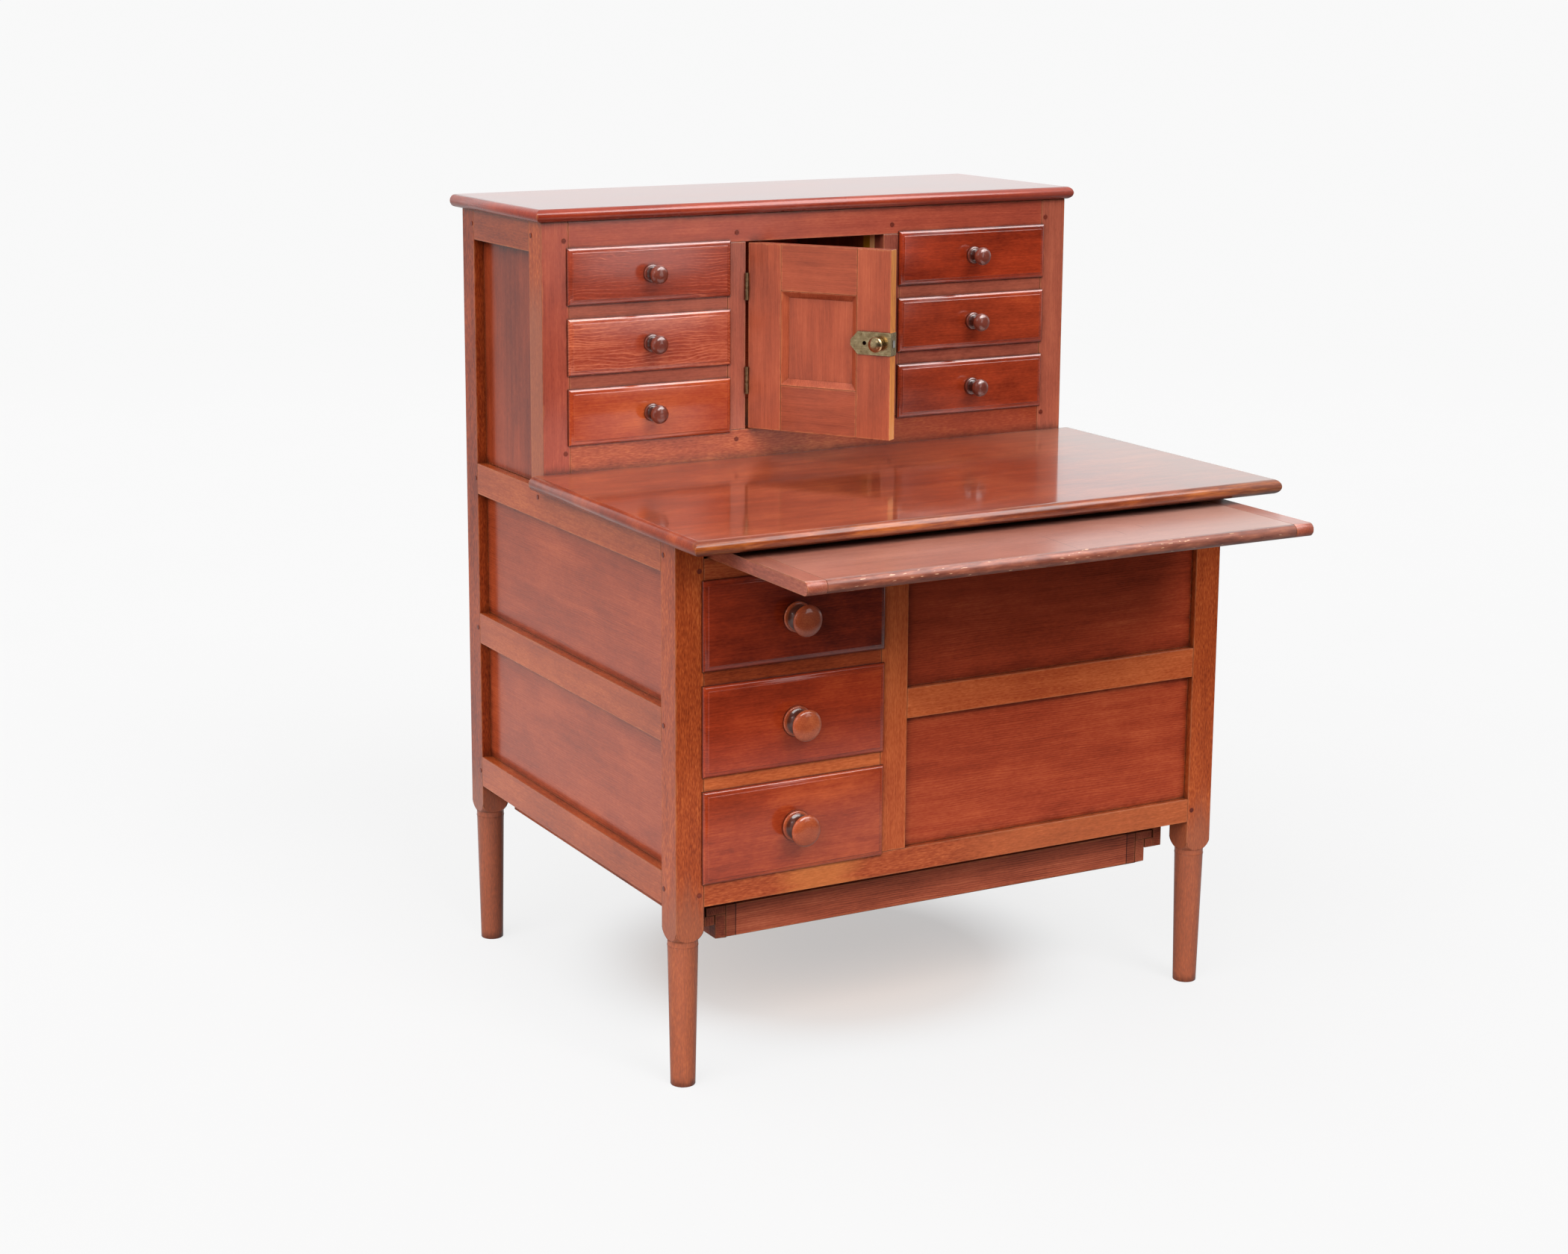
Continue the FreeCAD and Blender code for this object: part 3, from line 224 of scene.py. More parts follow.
class Shade:
    """The node tree of a material or of the world, and short calls that add to it."""

    def __init__(self, owner):
        owner.use_nodes = True
        self.owner = owner
        self.tree = owner.node_tree
        self.tree.nodes.clear()

    def add(self, kind, feeds=None, **settings):
        node = self.tree.nodes.new(kind)
        for key, value in settings.items():
            setattr(node, key, value)
        for key, value in (feeds or {}).items():
            self.feed(node.inputs[key], value)
        return node

    def feed(self, socket, value):
        if isinstance(value, bpy.types.NodeSocket):
            self.tree.links.new(value, socket)
        else:
            socket.default_value = value

    def attribute(self, name, output="Vector"):
        return self.add("ShaderNodeAttribute", attribute_name=name).outputs[output]

    def math(self, operation, a, b=0.0, c=0.0, clamp=False):
        feeds = {0: a, 1: b, 2: c}
        return self.add("ShaderNodeMath", feeds, operation=operation, use_clamp=clamp).outputs[0]

    def times(self, value, *others):
        for other in others:
            value = self.math("MULTIPLY", value, other)
        return value

    def hypotenuse(self, a, b):
        return self.math("SQRT", self.math("ADD", self.times(a, a), self.times(b, b)))

    def vector(self, operation, a, b=(0.0, 0.0, 0.0), output=0):
        return self.add("ShaderNodeVectorMath", {0: a, 1: b}, operation=operation).outputs[output]

    def split(self, vector):
        return self.add("ShaderNodeSeparateXYZ", {0: vector}).outputs

    def join(self, x, y, z):
        return self.add("ShaderNodeCombineXYZ", {0: x, 1: y, 2: z}).outputs[0]

    def noise(self, vector, scale=1.0, detail=2.0, rough=0.5):
        feeds = {"Vector": vector, "Scale": scale, "Detail": detail, "Roughness": rough}
        return self.add("ShaderNodeTexNoise", feeds).outputs["Fac"]

    def stretched(self, vector, repeats, detail, rough=0.5):
        """Noise about zero that repeats more often across the grain than along it."""
        noise = self.noise(self.vector("MULTIPLY", vector, repeats), detail=detail, rough=rough)
        return self.math("SUBTRACT", noise, 0.5)

    def smooth(self, value, low, high, to_low=0.0, to_high=1.0):
        feeds = {"Value": value, "From Min": low, "From Max": high, "To Min": to_low, "To Max": to_high}
        return self.add("ShaderNodeMapRange", feeds, interpolation_type="SMOOTHSTEP").outputs["Result"]

    def ramp(self, value, stops):
        node = self.add("ShaderNodeValToRGB", {0: value})
        points = node.color_ramp.elements
        while len(points) < len(stops):
            points.new(0.5)
        for point, (place, colour) in zip(points, stops):
            point.position = place
            point.color = colour
        return node.outputs["Color"]

    def mix(self, share, a, b):
        node = self.add("ShaderNodeMix", data_type="RGBA")
        self.feed(node.inputs[0], share)
        self.feed(node.inputs[6], a)
        self.feed(node.inputs[7], b)
        return node.outputs[2]

    def finish(self, colour, roughness, height, distance, strength, **sockets):
        """The Principled surface; further sockets are named in lower case."""
        shader = self.add("ShaderNodeBsdfPrincipled", {"Base Color": colour, "Roughness": roughness})
        for key, value in sockets.items():
            shader.inputs[key.replace("_", " ").title().replace("Ior", "IOR")].default_value = value
        bump = self.add("ShaderNodeBump", {"Height": height, "Distance": distance, "Strength": strength})
        self.feed(shader.inputs["Normal"], bump.outputs[0])
        self.add("ShaderNodeOutputMaterial", {0: shader.outputs[0]})
        return self.owner


# Wood

# How often each pattern repeats in a metre: along the grain, across it and through the board
RING_SWAY = (6.0, 26.0, 26.0)
RING_RIPPLE = (24.0, 90.0, 90.0)
RING_FADING = (7.0, 14.0, 14.0)
FIBRES = (16.0, 560.0, 560.0)
BROAD_FIBRES = (4.0, 80.0, 80.0)
FLECKS = (160.0, 720.0, 720.0)
STAIN_CLOUDS = (5.0, 11.0, 11.0)
STAIN_MOTTLE = (26.0, 60.0, 60.0)
RAGGED_WEAR = (60.0, 160.0, 160.0)
BOARD_SHIFT = 19.7

# How strongly the late wood shows across one growth ring, where it is darker and where it is paler
DARK_LATE_WOOD = [
    (0.0, grey(0.1)), (0.4, grey(0.0)), (0.8, grey(0.8)), (0.9, grey(1.0)), (1.0, grey(0.1)),
]
PALE_LATE_WOOD = [(0.0, grey(0.0)), (0.58, grey(0.0)), (0.78, grey(1.0)), (0.94, grey(0.0))]

SEAM_TONE = tone(46, 18, 12)
# the colour and reach of the painted shade and grime where boards meet
GRIME_AND_SHADE_TONE = tone(44, 13, 8)
GRIME_AND_SHADE_REACH = 0.013
BARE_DARK = tone(150, 84, 38)
BARE_LIGHT = tone(222, 168, 104)

# What a mask knows: a point's place from the board's middle, the board's half sizes, the place that the
# patterns are drawn at, and the broad fibres
Board = namedtuple("Board", "along across through half_along half_across half_through moved broad")


def wood(
    name, dark, middle, light, ring_gap=0.003, rings=0.1, pith=0.14, wander=0.002, streaks=0.3,
    flecks=0.15, blotches=0.4, worn=0.3, worn_tone=tone(190, 118, 74), joint=0.5, gloss=0.2,
    bare_tone=tone(196, 142, 78), coat=0.0, coat_roughness=0.12, coat_ior=1.5, relief=0.3,
    specular=0.25, grime_and_shade=0.8, mask=None,
):
    """Stained wood: rings round a wandering pith, fibres, pores, an uneven stain, worn edges."""
    s = Shade(bpy.data.materials.new(name))
    own = s.attribute("own")
    half = s.attribute("half")
    seed = s.attribute("seed", "Fac")
    along, across, through = s.split(own)
    shift = s.times(seed, BOARD_SHIFT)
    moved = s.vector("ADD", own, s.join(shift, s.times(shift, 0.37), s.times(shift, 0.71)))

    # growth rings, far from the pith nearly straight lines that sway slowly and ripple a little
    pith_side = s.math("MULTIPLY_ADD", s.math("SUBTRACT", seed, 0.5), 0.03, pith)
    from_pith = s.math("ADD", across, pith_side)
    from_pith = s.math("MULTIPLY_ADD", s.stretched(moved, RING_SWAY, 2.0), wander * 6, from_pith)
    from_pith = s.math("MULTIPLY_ADD", s.stretched(moved, RING_RIPPLE, 1.0), wander * 2, from_pith)
    deep = s.math("MULTIPLY_ADD", along, 0.03, s.math("ADD", through, 0.03))
    phase = s.math("FRACT", s.math("DIVIDE", s.hypotenuse(from_pith, deep), ring_gap))
    late = s.ramp(phase, DARK_LATE_WOOD if rings > 0 else PALE_LATE_WOOD)
    late = s.times(late, s.smooth(s.stretched(moved, RING_FADING, 2.0), -0.2, 0.15, 0.25, 1.0))

    # fibres, flecks and the stain's blotches
    fine = s.stretched(moved, FIBRES, 2.0, 0.6)
    broad = s.stretched(moved, BROAD_FIBRES, 3.0, 0.55)
    fleck = s.stretched(moved, FLECKS, 1.0)
    cloud = s.stretched(moved, STAIN_CLOUDS, 4.0, 0.6)
    mottle = s.stretched(moved, STAIN_MOTTLE, 3.0, 0.6)
    depth = s.math("ADD", s.attribute("tint", "Fac"), 0.5)
    for pattern, share in (
        (fine, streaks), (broad, streaks), (cloud, blotches * 1.5), (mottle, blotches * 0.5),
        (fleck, flecks * 2.0), (late, -rings),
    ):
        depth = s.math("MULTIPLY_ADD", pattern, share, depth)
    colour = s.ramp(depth, [(0.1, dark), (0.5, middle), (0.9, light)])

    # worn edges and dark seams, by the distance to the board's nearest edge
    left = s.split(s.vector("SUBTRACT", half, s.vector("ABSOLUTE", own)))
    least = s.math("MINIMUM", left[0], left[1])
    most = s.math("MAXIMUM", left[0], left[1])
    edge = s.math("MAXIMUM", least, s.math("MINIMUM", most, left[2]))
    ragged = s.stretched(moved, RAGGED_WEAR, 3.0, 0.65)
    ragged_edge = s.math("MULTIPLY_ADD", ragged, 0.006, edge)
    rubbed = s.times(s.smooth(ragged_edge, 0.0022, 0.0002), worn)
    colour = s.mix(rubbed, colour, worn_tone)
    colour = s.mix(s.times(s.smooth(edge, 0.0007, 0.0001), joint), colour, SEAM_TONE)
    if mask:
        colour = mask(s, colour, Board(along, across, through, *s.split(half), moved, broad))

    # painted shade and grime: ambient occlusion darkens the colour where boards meet, standing for the
    # shade there as well as the varnish and dirt that gather there
    if grime_and_shade:
        near = s.add("ShaderNodeAmbientOcclusion", {"Distance": GRIME_AND_SHADE_REACH}, samples=4).outputs["AO"]
        near = s.math("MULTIPLY_ADD", s.math("ADD", ragged, mottle), 0.35, near)
        colour = s.mix(s.times(s.smooth(near, 0.93, 0.38), grime_and_shade), colour, GRIME_AND_SHADE_TONE)

    # bare wood where the face says so
    raw = s.ramp(depth, [(0.1, BARE_DARK), (0.5, bare_tone), (0.9, BARE_LIGHT)])
    colour = s.mix(s.attribute("bare", "Fac"), colour, raw)

    rough = s.math("MULTIPLY_ADD", cloud, 0.14, gloss)
    rough = s.math("MULTIPLY_ADD", late, 0.05 * rings, rough)
    rough = s.math("MULTIPLY_ADD", rubbed, 0.2, rough, clamp=True)
    height = s.math("MULTIPLY_ADD", late, -rings, s.times(fine, streaks))
    height = s.math("MULTIPLY_ADD", fleck, flecks, height)
    height = s.math("MULTIPLY_ADD", broad, 0.5, height)
    return s.finish(
        colour, rough, height, 0.0004, relief, coat_weight=coat, coat_roughness=coat_roughness,
        coat_ior=coat_ior, specular_ior_level=specular,
    )


# Masks paint what one board has and its neighbours haven't


def painted_lip_shade(s, colour, board):
    """The drawer lip's sides and its rim's foot, painted dark as painted shade round the lip."""
    from_front = s.math("ADD", board.through, board.half_through)
    return s.mix(s.times(s.smooth(from_front, 0.0026, 0.0046), 0.85), colour, tone(44, 14, 9))


def painted_waist_shade(s, colour, board):
    """A turned knob's neck, painted dark as painted shade in the waist between flange and head."""
    radius = s.math("DIVIDE", s.hypotenuse(board.across, board.through), board.half_across)
    height = s.math("DIVIDE", s.math("SUBTRACT", board.half_along, board.along), board.half_along)
    neck = s.times(s.smooth(height, 0.2, 0.3), s.smooth(height, 1.5, 1.3))
    return s.mix(s.times(s.smooth(radius, 0.93, 0.72), neck, 0.85), colour, tone(34, 12, 9))


def lit_partition(s, colour, board):
    """The cupboard's partitions near their front edge, painted pale as painted light on their sides."""
    upright = s.times(s.smooth(board.half_along, 0.12, 0.13), s.smooth(board.half_along, 0.3, 0.2))
    from_front = s.math("ADD", board.across, board.half_across)
    for reach, fade, paint in ((0.026, 0.03, tone(176, 120, 24)), (0.0115, 0.0125, tone(240, 176, 120))):
        colour = s.mix(s.times(s.smooth(from_front, fade, reach), upright), colour, paint)
    return colour


def golden_nose_and_sheen(s, colour, board):
    """The work surface's front edge, rubbed through its stain, and its right part painted paler as a
    painted reflection.
    """
    # painted reflection: the right part is made paler where the varnish mirrors the pale background
    painted_sheen = s.times(s.smooth(board.along, 0.14, 0.4), 0.36)
    colour = s.mix(painted_sheen, colour, tone(156, 136, 118))
    from_front = s.math("ADD", board.across, board.half_across)
    wander = s.noise(s.vector("MULTIPLY", board.moved, (18.0, 90.0, 90.0)), detail=4.0)
    share = s.times(s.smooth(s.math("MULTIPLY_ADD", wander, 0.02, from_front), 0.0195, 0.011), 0.85)
    blot = s.noise(s.vector("MULTIPLY", board.moved, (14.0, 130.0, 130.0)), detail=4.0, rough=0.7)
    paint = s.ramp(blot, [(0.32, tone(72, 27, 10)), (0.5, tone(116, 52, 20)), (0.68, tone(170, 94, 38))])
    return s.mix(share, colour, paint)


def golden_patch(s, colour, board):
    """A figured length of the rail left of its middle, and its paler right part."""
    right_part = s.times(s.smooth(board.along, -0.05, 0.1), 0.3)
    colour = s.mix(right_part, colour, tone(196, 112, 66))
    away = s.math("ABSOLUTE", s.math("SUBTRACT", board.along, -0.19))
    away = s.math("MULTIPLY_ADD", board.broad, 0.07, away)
    return s.mix(s.times(s.smooth(away, 0.07, 0.021), 0.4), colour, tone(206, 126, 64))


def darker_right(s, colour, board):
    """The rail's right part, darker."""
    return s.mix(s.times(s.smooth(board.along, -0.05, 0.12), 0.6), colour, tone(120, 41, 22))


def worn_leg(s, colour, board):
    """The turned part of a post, handled and faded."""
    from_foot = s.math("ADD", board.along, board.half_along)
    share = s.smooth(s.math("MULTIPLY_ADD", board.broad, 0.1, from_foot), 0.27, 0.19)
    return s.mix(s.times(share, 0.5), colour, tone(144, 92, 72))


def lapped_ends(s, colour, board):
    """Dark lines where the board's ends are lapped."""
    from_end = s.math("SUBTRACT", board.half_along, s.math("ABSOLUTE", board.along))
    line = s.smooth(s.math("ABSOLUTE", s.math("SUBTRACT", from_end, 0.013)), 0.0009, 0.0003)
    share = s.math("MAXIMUM", line, s.times(s.smooth(from_end, 0.0135, 0.0125), 0.3))
    return s.mix(share, colour, tone(40, 15, 11))


# Lines scored in the pull-out board: the place along it, and the line's two ends from the front edge
SCORED_LINES = (
    (0.0125, 0.012, 0.086), (0.171, 0.128, 0.164), (0.105, 0.05, 0.075), (0.145, 0.075, 0.092),
)
LINE_FADE = 0.004


def worn_front_and_sheen(s, colour, board):
    """The pull-out board: painted paler to the right as a painted sheen, scored, and its front edge
    painted darker and nicked.
    """
    # painted sheen: the board is made paler towards its right end
    colour = s.mix(s.times(s.smooth(board.along, 0.0, 0.34), 0.5), colour, tone(184, 146, 132))
    from_front = s.math("ADD", board.across, board.half_across)
    for place, near, far in SCORED_LINES:
        lean = s.math("MULTIPLY_ADD", from_front, -0.05, s.math("SUBTRACT", board.along, place))
        line = s.smooth(s.math("ABSOLUTE", lean), 0.0009, 0.0003)
        past_near = s.smooth(from_front, near - LINE_FADE, near)
        before_far = s.smooth(from_front, far, far - LINE_FADE)
        colour = s.mix(s.times(line, past_near, before_far, 0.6), colour, tone(92, 44, 34))
    blot = s.noise(s.vector("MULTIPLY", board.moved, (30.0, 160.0, 160.0)), detail=3.0, rough=0.65)
    nicks = s.noise(s.vector("MULTIPLY", board.moved, (90.0, 420.0, 420.0)), detail=1.0)
    paint = s.ramp(blot, [(0.3, tone(78, 34, 26)), (0.5, tone(120, 62, 46)), (0.7, tone(158, 92, 68))])
    paint = s.mix(s.smooth(nicks, 0.68, 0.74), paint, tone(204, 160, 128))
    return s.mix(s.times(s.smooth(from_front, 0.0085, 0.006), 0.85), colour, paint)


# The woods, each with its dark, middle and pale tone, and the looks that several of them share

FRONT_LOOK = dict(rings=0.05, blotches=0.65, joint=0.2, mask=painted_lip_shade)
SLIDE_LOOK = dict(rings=0.08, joint=0.6, blotches=0.45)
DULL_LOOK = dict(gloss=0.4, relief=0.2, specular=0.5, coat=1.0, coat_roughness=0.26, coat_ior=1.75)
KNOB_LOOK = dict(
    worn=0.0, joint=0.0, gloss=0.3, relief=0.05, specular=0.3, grime_and_shade=1.0, coat=0.8, coat_roughness=0.05,
    mask=painted_waist_shade,
)

frame_wood = wood(
    "frame_wood_varnish", tone(104, 37, 16), tone(157, 68, 34), tone(200, 105, 57),
    rings=0.06, flecks=0.22, grime_and_shade=0.7,
)
side_rail_wood = wood(
    "side_rail_varnish", tone(106, 38, 16), tone(158, 71, 34), tone(200, 108, 58),
    rings=0.06, flecks=0.2, specular=0.4, grime_and_shade=0.7,
)
post_wood = wood(
    "post_wood_varnish", tone(106, 36, 14), tone(158, 68, 30), tone(204, 106, 52),
    rings=0.06, flecks=0.42, specular=0.3, grime_and_shade=0.6, mask=worn_leg,
)
gallery_wood = wood(
    "gallery_wood_varnish", tone(106, 38, 30), tone(154, 68, 48), tone(196, 102, 68),
    rings=0.06, flecks=0.12, specular=0.55, grime_and_shade=0.95,
)
# painted sheen: a paler base colour stands for the sheen on the right stile and the dividers
stile_with_painted_sheen = wood(
    "gallery_stile_painted_sheen", tone(104, 46, 36), tone(154, 80, 60), tone(190, 108, 76),
    rings=0.06, flecks=0.12, specular=0.5, grime_and_shade=0.95,
)
gallery_rail_wood = wood(
    "gallery_rail_varnish", tone(108, 38, 22), tone(160, 74, 44), tone(204, 116, 66),
    rings=0.06, flecks=0.3, specular=0.55, mask=darker_right,
)
rail_gold = wood(
    "rail_wood_golden", tone(112, 40, 18), tone(160, 72, 38), tone(204, 112, 62),
    rings=0.06, flecks=0.35, mask=golden_patch,
)
panel_wood = wood(
    "panel_wood_varnish", tone(96, 30, 15), tone(148, 56, 31), tone(184, 86, 50),
    rings=0.16, ring_gap=0.0026, blotches=0.45, specular=0.2,
)
side_panel_wood = wood(
    "side_panel_varnish", tone(102, 36, 18), tone(152, 64, 35), tone(188, 92, 54),
    rings=0.14, ring_gap=0.0026, blotches=0.45, specular=0.4,
)
top_wood = wood(
    "top_wood_polish", tone(84, 30, 18), tone(136, 58, 34), tone(180, 92, 54),
    streaks=0.4, blotches=0.7, worn=0.5, worn_tone=tone(206, 128, 66), gloss=0.35, coat=1.0,
    coat_roughness=0.085, coat_ior=1.85, relief=0.12, mask=golden_nose_and_sheen,
)
top_nose_wood = wood(
    "top_nose_rubbed", tone(80, 26, 14), tone(129, 50, 27), tone(172, 80, 42),
    streaks=0.4, blotches=0.65, worn=0.5, worn_tone=tone(198, 118, 56), gloss=0.3, coat=0.35,
    specular=0.2, mask=golden_nose_and_sheen,
)
plain_top = wood(
    "top_board_polish", tone(86, 26, 17), tone(130, 48, 30), tone(168, 74, 44),
    gloss=0.35, coat=1.0, coat_roughness=0.1, relief=0.15,
)
plain_nose = wood(
    "top_board_nose", tone(90, 26, 14), tone(137, 45, 24), tone(176, 73, 38),
    gloss=0.28, coat=0.3, relief=0.15, specular=0.3,
)
pine_front = wood(
    "drawer_wood_pine", tone(98, 34, 22), tone(148, 58, 36), tone(206, 112, 76),
    rings=-0.28, ring_gap=0.0036, pith=0.05, wander=0.004, joint=0.2, gloss=0.24, coat=0.8,
    coat_roughness=0.13, relief=0.6, specular=0.4, mask=painted_lip_shade,
)
smooth_front = wood(
    "drawer_wood_smooth", tone(90, 26, 12), tone(148, 54, 27), tone(190, 86, 44),
    coat=1.0, specular=0.1, **FRONT_LOOK,
)
deep_front = wood(
    "drawer_wood_deep", tone(90, 24, 10), tone(149, 50, 23), tone(192, 80, 38),
    coat=1.0, specular=0.1, **FRONT_LOOK,
)
orange_front = wood(
    "drawer_wood_orange", tone(104, 32, 15), tone(154, 58, 29), tone(192, 92, 46),
    coat=0.8, coat_roughness=0.1, specular=0.3, **FRONT_LOOK,
)
slide_wood = wood(
    "slide_wood_dull", tone(124, 70, 57), tone(171, 106, 87), tone(201, 144, 123),
    mask=worn_front_and_sheen, **SLIDE_LOOK, **DULL_LOOK,
)
slide_nose_wood = wood(
    "slide_nose_worn", tone(112, 56, 42), tone(156, 88, 68), tone(190, 126, 102),
    gloss=0.35, specular=0.35, mask=worn_front_and_sheen, **SLIDE_LOOK,
)
cleat_wood = wood(
    "slide_end_dull", tone(120, 62, 48), tone(166, 96, 76), tone(198, 134, 112),
    **SLIDE_LOOK, **DULL_LOOK,
)
cleat_nose_wood = wood(
    "slide_end_nose", tone(104, 44, 32), tone(148, 74, 54), tone(186, 112, 86),
    flecks=0.3, gloss=0.32, specular=0.35, **SLIDE_LOOK,
)
door_wood = wood(
    "door_wood_varnish", tone(100, 41, 27), tone(150, 70, 45), tone(186, 98, 65),
    rings=0.14, ring_gap=0.002, streaks=0.35, flecks=0.08, joint=0.35, specular=0.5, grime_and_shade=1.0,
    bare_tone=tone(218, 138, 60),
)
tray_wood = wood(
    "tray_wood_rough", tone(94, 38, 24), tone(152, 72, 48), tone(192, 108, 76),
    rings=0.3, ring_gap=0.0028, streaks=0.45, gloss=0.5, relief=0.8, specular=0.2, grime_and_shade=0.6,
    mask=lapped_ends,
)
inside_wood = wood(
    "inside_wood_pine", tone(140, 88, 42), tone(186, 130, 74), tone(222, 176, 116),
    rings=0.3, worn=0.1, joint=0.3, gloss=0.6, grime_and_shade=0.5,
)
# the cupboard's boards are given darker tones than the drawers' pine
cupboard_wood = wood(
    "cupboard_wood_darker", tone(66, 28, 12), tone(124, 62, 30), tone(150, 90, 50),
    rings=0.3, worn=0.1, joint=0.3, gloss=0.6, specular=0.2, grime_and_shade=0.5, bare_tone=tone(158, 92, 48),
    mask=lit_partition,
)
small_knob_wood = wood(
    "knob_wood_dark", tone(60, 22, 16), tone(100, 43, 31), tone(134, 66, 49), rings=0.05, **KNOB_LOOK,
)
big_knob_wood = wood(
    "knob_wood_orange", tone(98, 34, 16), tone(150, 65, 34), tone(192, 100, 56), rings=0.06, **KNOB_LOOK,
)
peg_wood = wood(
    "peg_wood_dark", tone(60, 20, 14), tone(104, 42, 30), tone(140, 66, 46),
    worn=0.0, joint=0.0, grime_and_shade=0.0,
)


# How often the scratches in the metal repeat in a metre, along each of a solid's own axes
SCRATCHES = (60.0, 1400.0, 900.0)


def metal(name, deep, face, bright, roughness, spots):
    """Old metal: a cloudy patina, duller in its deep spots, with fine scratches."""
    s = Shade(bpy.data.materials.new(name))
    own = s.attribute("own")
    cloud = s.noise(own, scale=140.0, detail=4.0, rough=0.65)
    scratch = s.noise(s.vector("MULTIPLY", own, SCRATCHES), detail=2.0)
    depth = s.math("MULTIPLY_ADD", s.math("SUBTRACT", scratch, 0.5), 0.5, cloud)
    colour = s.ramp(depth, [(0.3, deep), (0.52, face), (0.75, bright)])
    rough = s.math("MULTIPLY_ADD", s.math("SUBTRACT", 0.5, cloud), spots, roughness, clamp=True)
    return s.finish(colour, rough, scratch, 0.0002, 0.3, metallic=1.0)


old_brass = metal(
    "old_brass_patina", tone(92, 74, 50), tone(158, 138, 104), tone(206, 190, 152), 0.42, 0.5,
)
lock_brass = metal(
    "lock_brass_patina", tone(146, 124, 90), tone(180, 158, 119), tone(212, 192, 150), 0.26, 0.2,
)
bolt_steel = metal(
    "bolt_steel_worn", tone(110, 104, 98), tone(178, 176, 172), tone(222, 222, 220), 0.35, 0.4,
)

# The material of each node that isn't a knob or of the usual drawer and frame wood
MATERIAL_OF = {
    "front_bottom_rail": rail_gold,
    "side_panels": side_panel_wood,
    "left_side_rails": side_rail_wood,
    "front_panels": panel_wood,
    "back_panels": panel_wood,
    "work_surface": top_wood,
    "top_board": plain_top,
    "base_boards": inside_wood,
    "gallery_boards": cupboard_wood,
    "gallery_stile_left": gallery_wood,
    "gallery_stile_right": stile_with_painted_sheen,
    "gallery_top_rail": gallery_wood,
    "gallery_bottom_rail": gallery_rail_wood,
    "post_front_left": post_wood,
    "post_front_right": post_wood,
    "post_rear_left": post_wood,
    "post_rear_right": post_wood,
    "gallery_dividers": stile_with_painted_sheen,
    "runners": tray_wood,
    "pegs": peg_wood,
    "case_door_brass": old_brass,
    "slide_board": slide_wood,
    "slide_ends": cleat_wood,
    "tray": tray_wood,
    "gallery_drawer_left_2": pine_front,
    "gallery_drawer_left_3": pine_front,
    "gallery_drawer_left_1": orange_front,
    "gallery_drawer_right_3": deep_front,
    "front_drawer_mid": deep_front,
    "front_drawer_high": deep_front,
    "door_frame": door_wood,
    "door_panel": door_wood,
    "door_hinge_leaves": old_brass,
    "lock_plate": lock_brass,
    "lock_knob": lock_brass,
    "lock_bolt": bolt_steel,
}

# The noses of these boards have their own material; a nose is what isn't nearly level
NOSES = {
    "work_surface": top_nose_wood,
    "top_board": plain_nose,
    "slide_board": slide_nose_wood,
    "slide_ends": cleat_nose_wood,
}
LEVEL_NORMAL = 0.93
SIDEWAYS_NORMAL = 0.9

# These keep the edges that the solids have
UNEASED_NODES = ("case_door_brass", "door_hinge_leaves", "lock_plate", "lock_knob", "lock_bolt", "pegs")
EASED_EDGE = 0.0006
WELD_REACH = 0.00001
EASED_ANGLE = math.radians(30)


def material_for(name):
    """The material of a node."""
    if name in MATERIAL_OF:
        return MATERIAL_OF[name]
    if "knob" in name:
        return small_knob_wood if name.startswith("gallery") else big_knob_wood
    if "drawer" in name:
        return smooth_front
    return frame_wood


def add_material(mesh, material, wanted):
    """A second material on the faces whose normal is a wanted one."""
    mesh.materials.append(material)
    for face in mesh.polygons:
        if wanted(face.normal):
            face.material_index = 1


def soften(obj):
    """Joins the faces that meet and eases the sharp edges."""
    weld = obj.modifiers.new("weld", "WELD")
    weld.merge_threshold = WELD_REACH
    bevel = obj.modifiers.new("eased_edges", "BEVEL")
    bevel.width = EASED_EDGE
    bevel.segments = 2
    bevel.limit_method = "ANGLE"
    bevel.angle_limit = EASED_ANGLE
    bevel.harden_normals = True
    bevel.use_clamp_overlap = False


def put_in_scene(name, data):
    """A new object of the scene that shows this data."""
    made = bpy.data.objects.new(name, data)
    scene.collection.objects.link(made)
    return made


def new_piece(node, name, points, faces):
    """A finer mesh that stands for a node and moves with its body."""
    mesh = bpy.data.meshes.new(name)
    mesh.from_pydata(points, [], faces)
    mesh.polygons.foreach_set("use_smooth", [True] * len(faces))
    made = put_in_scene(name, mesh)
    give_grain(made, node)
    mesh.materials.append(material_for(node))
    body = next(key for key, nodes in BODIES.items() if node in nodes)
    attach(made, body)
    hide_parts(node)
    return made


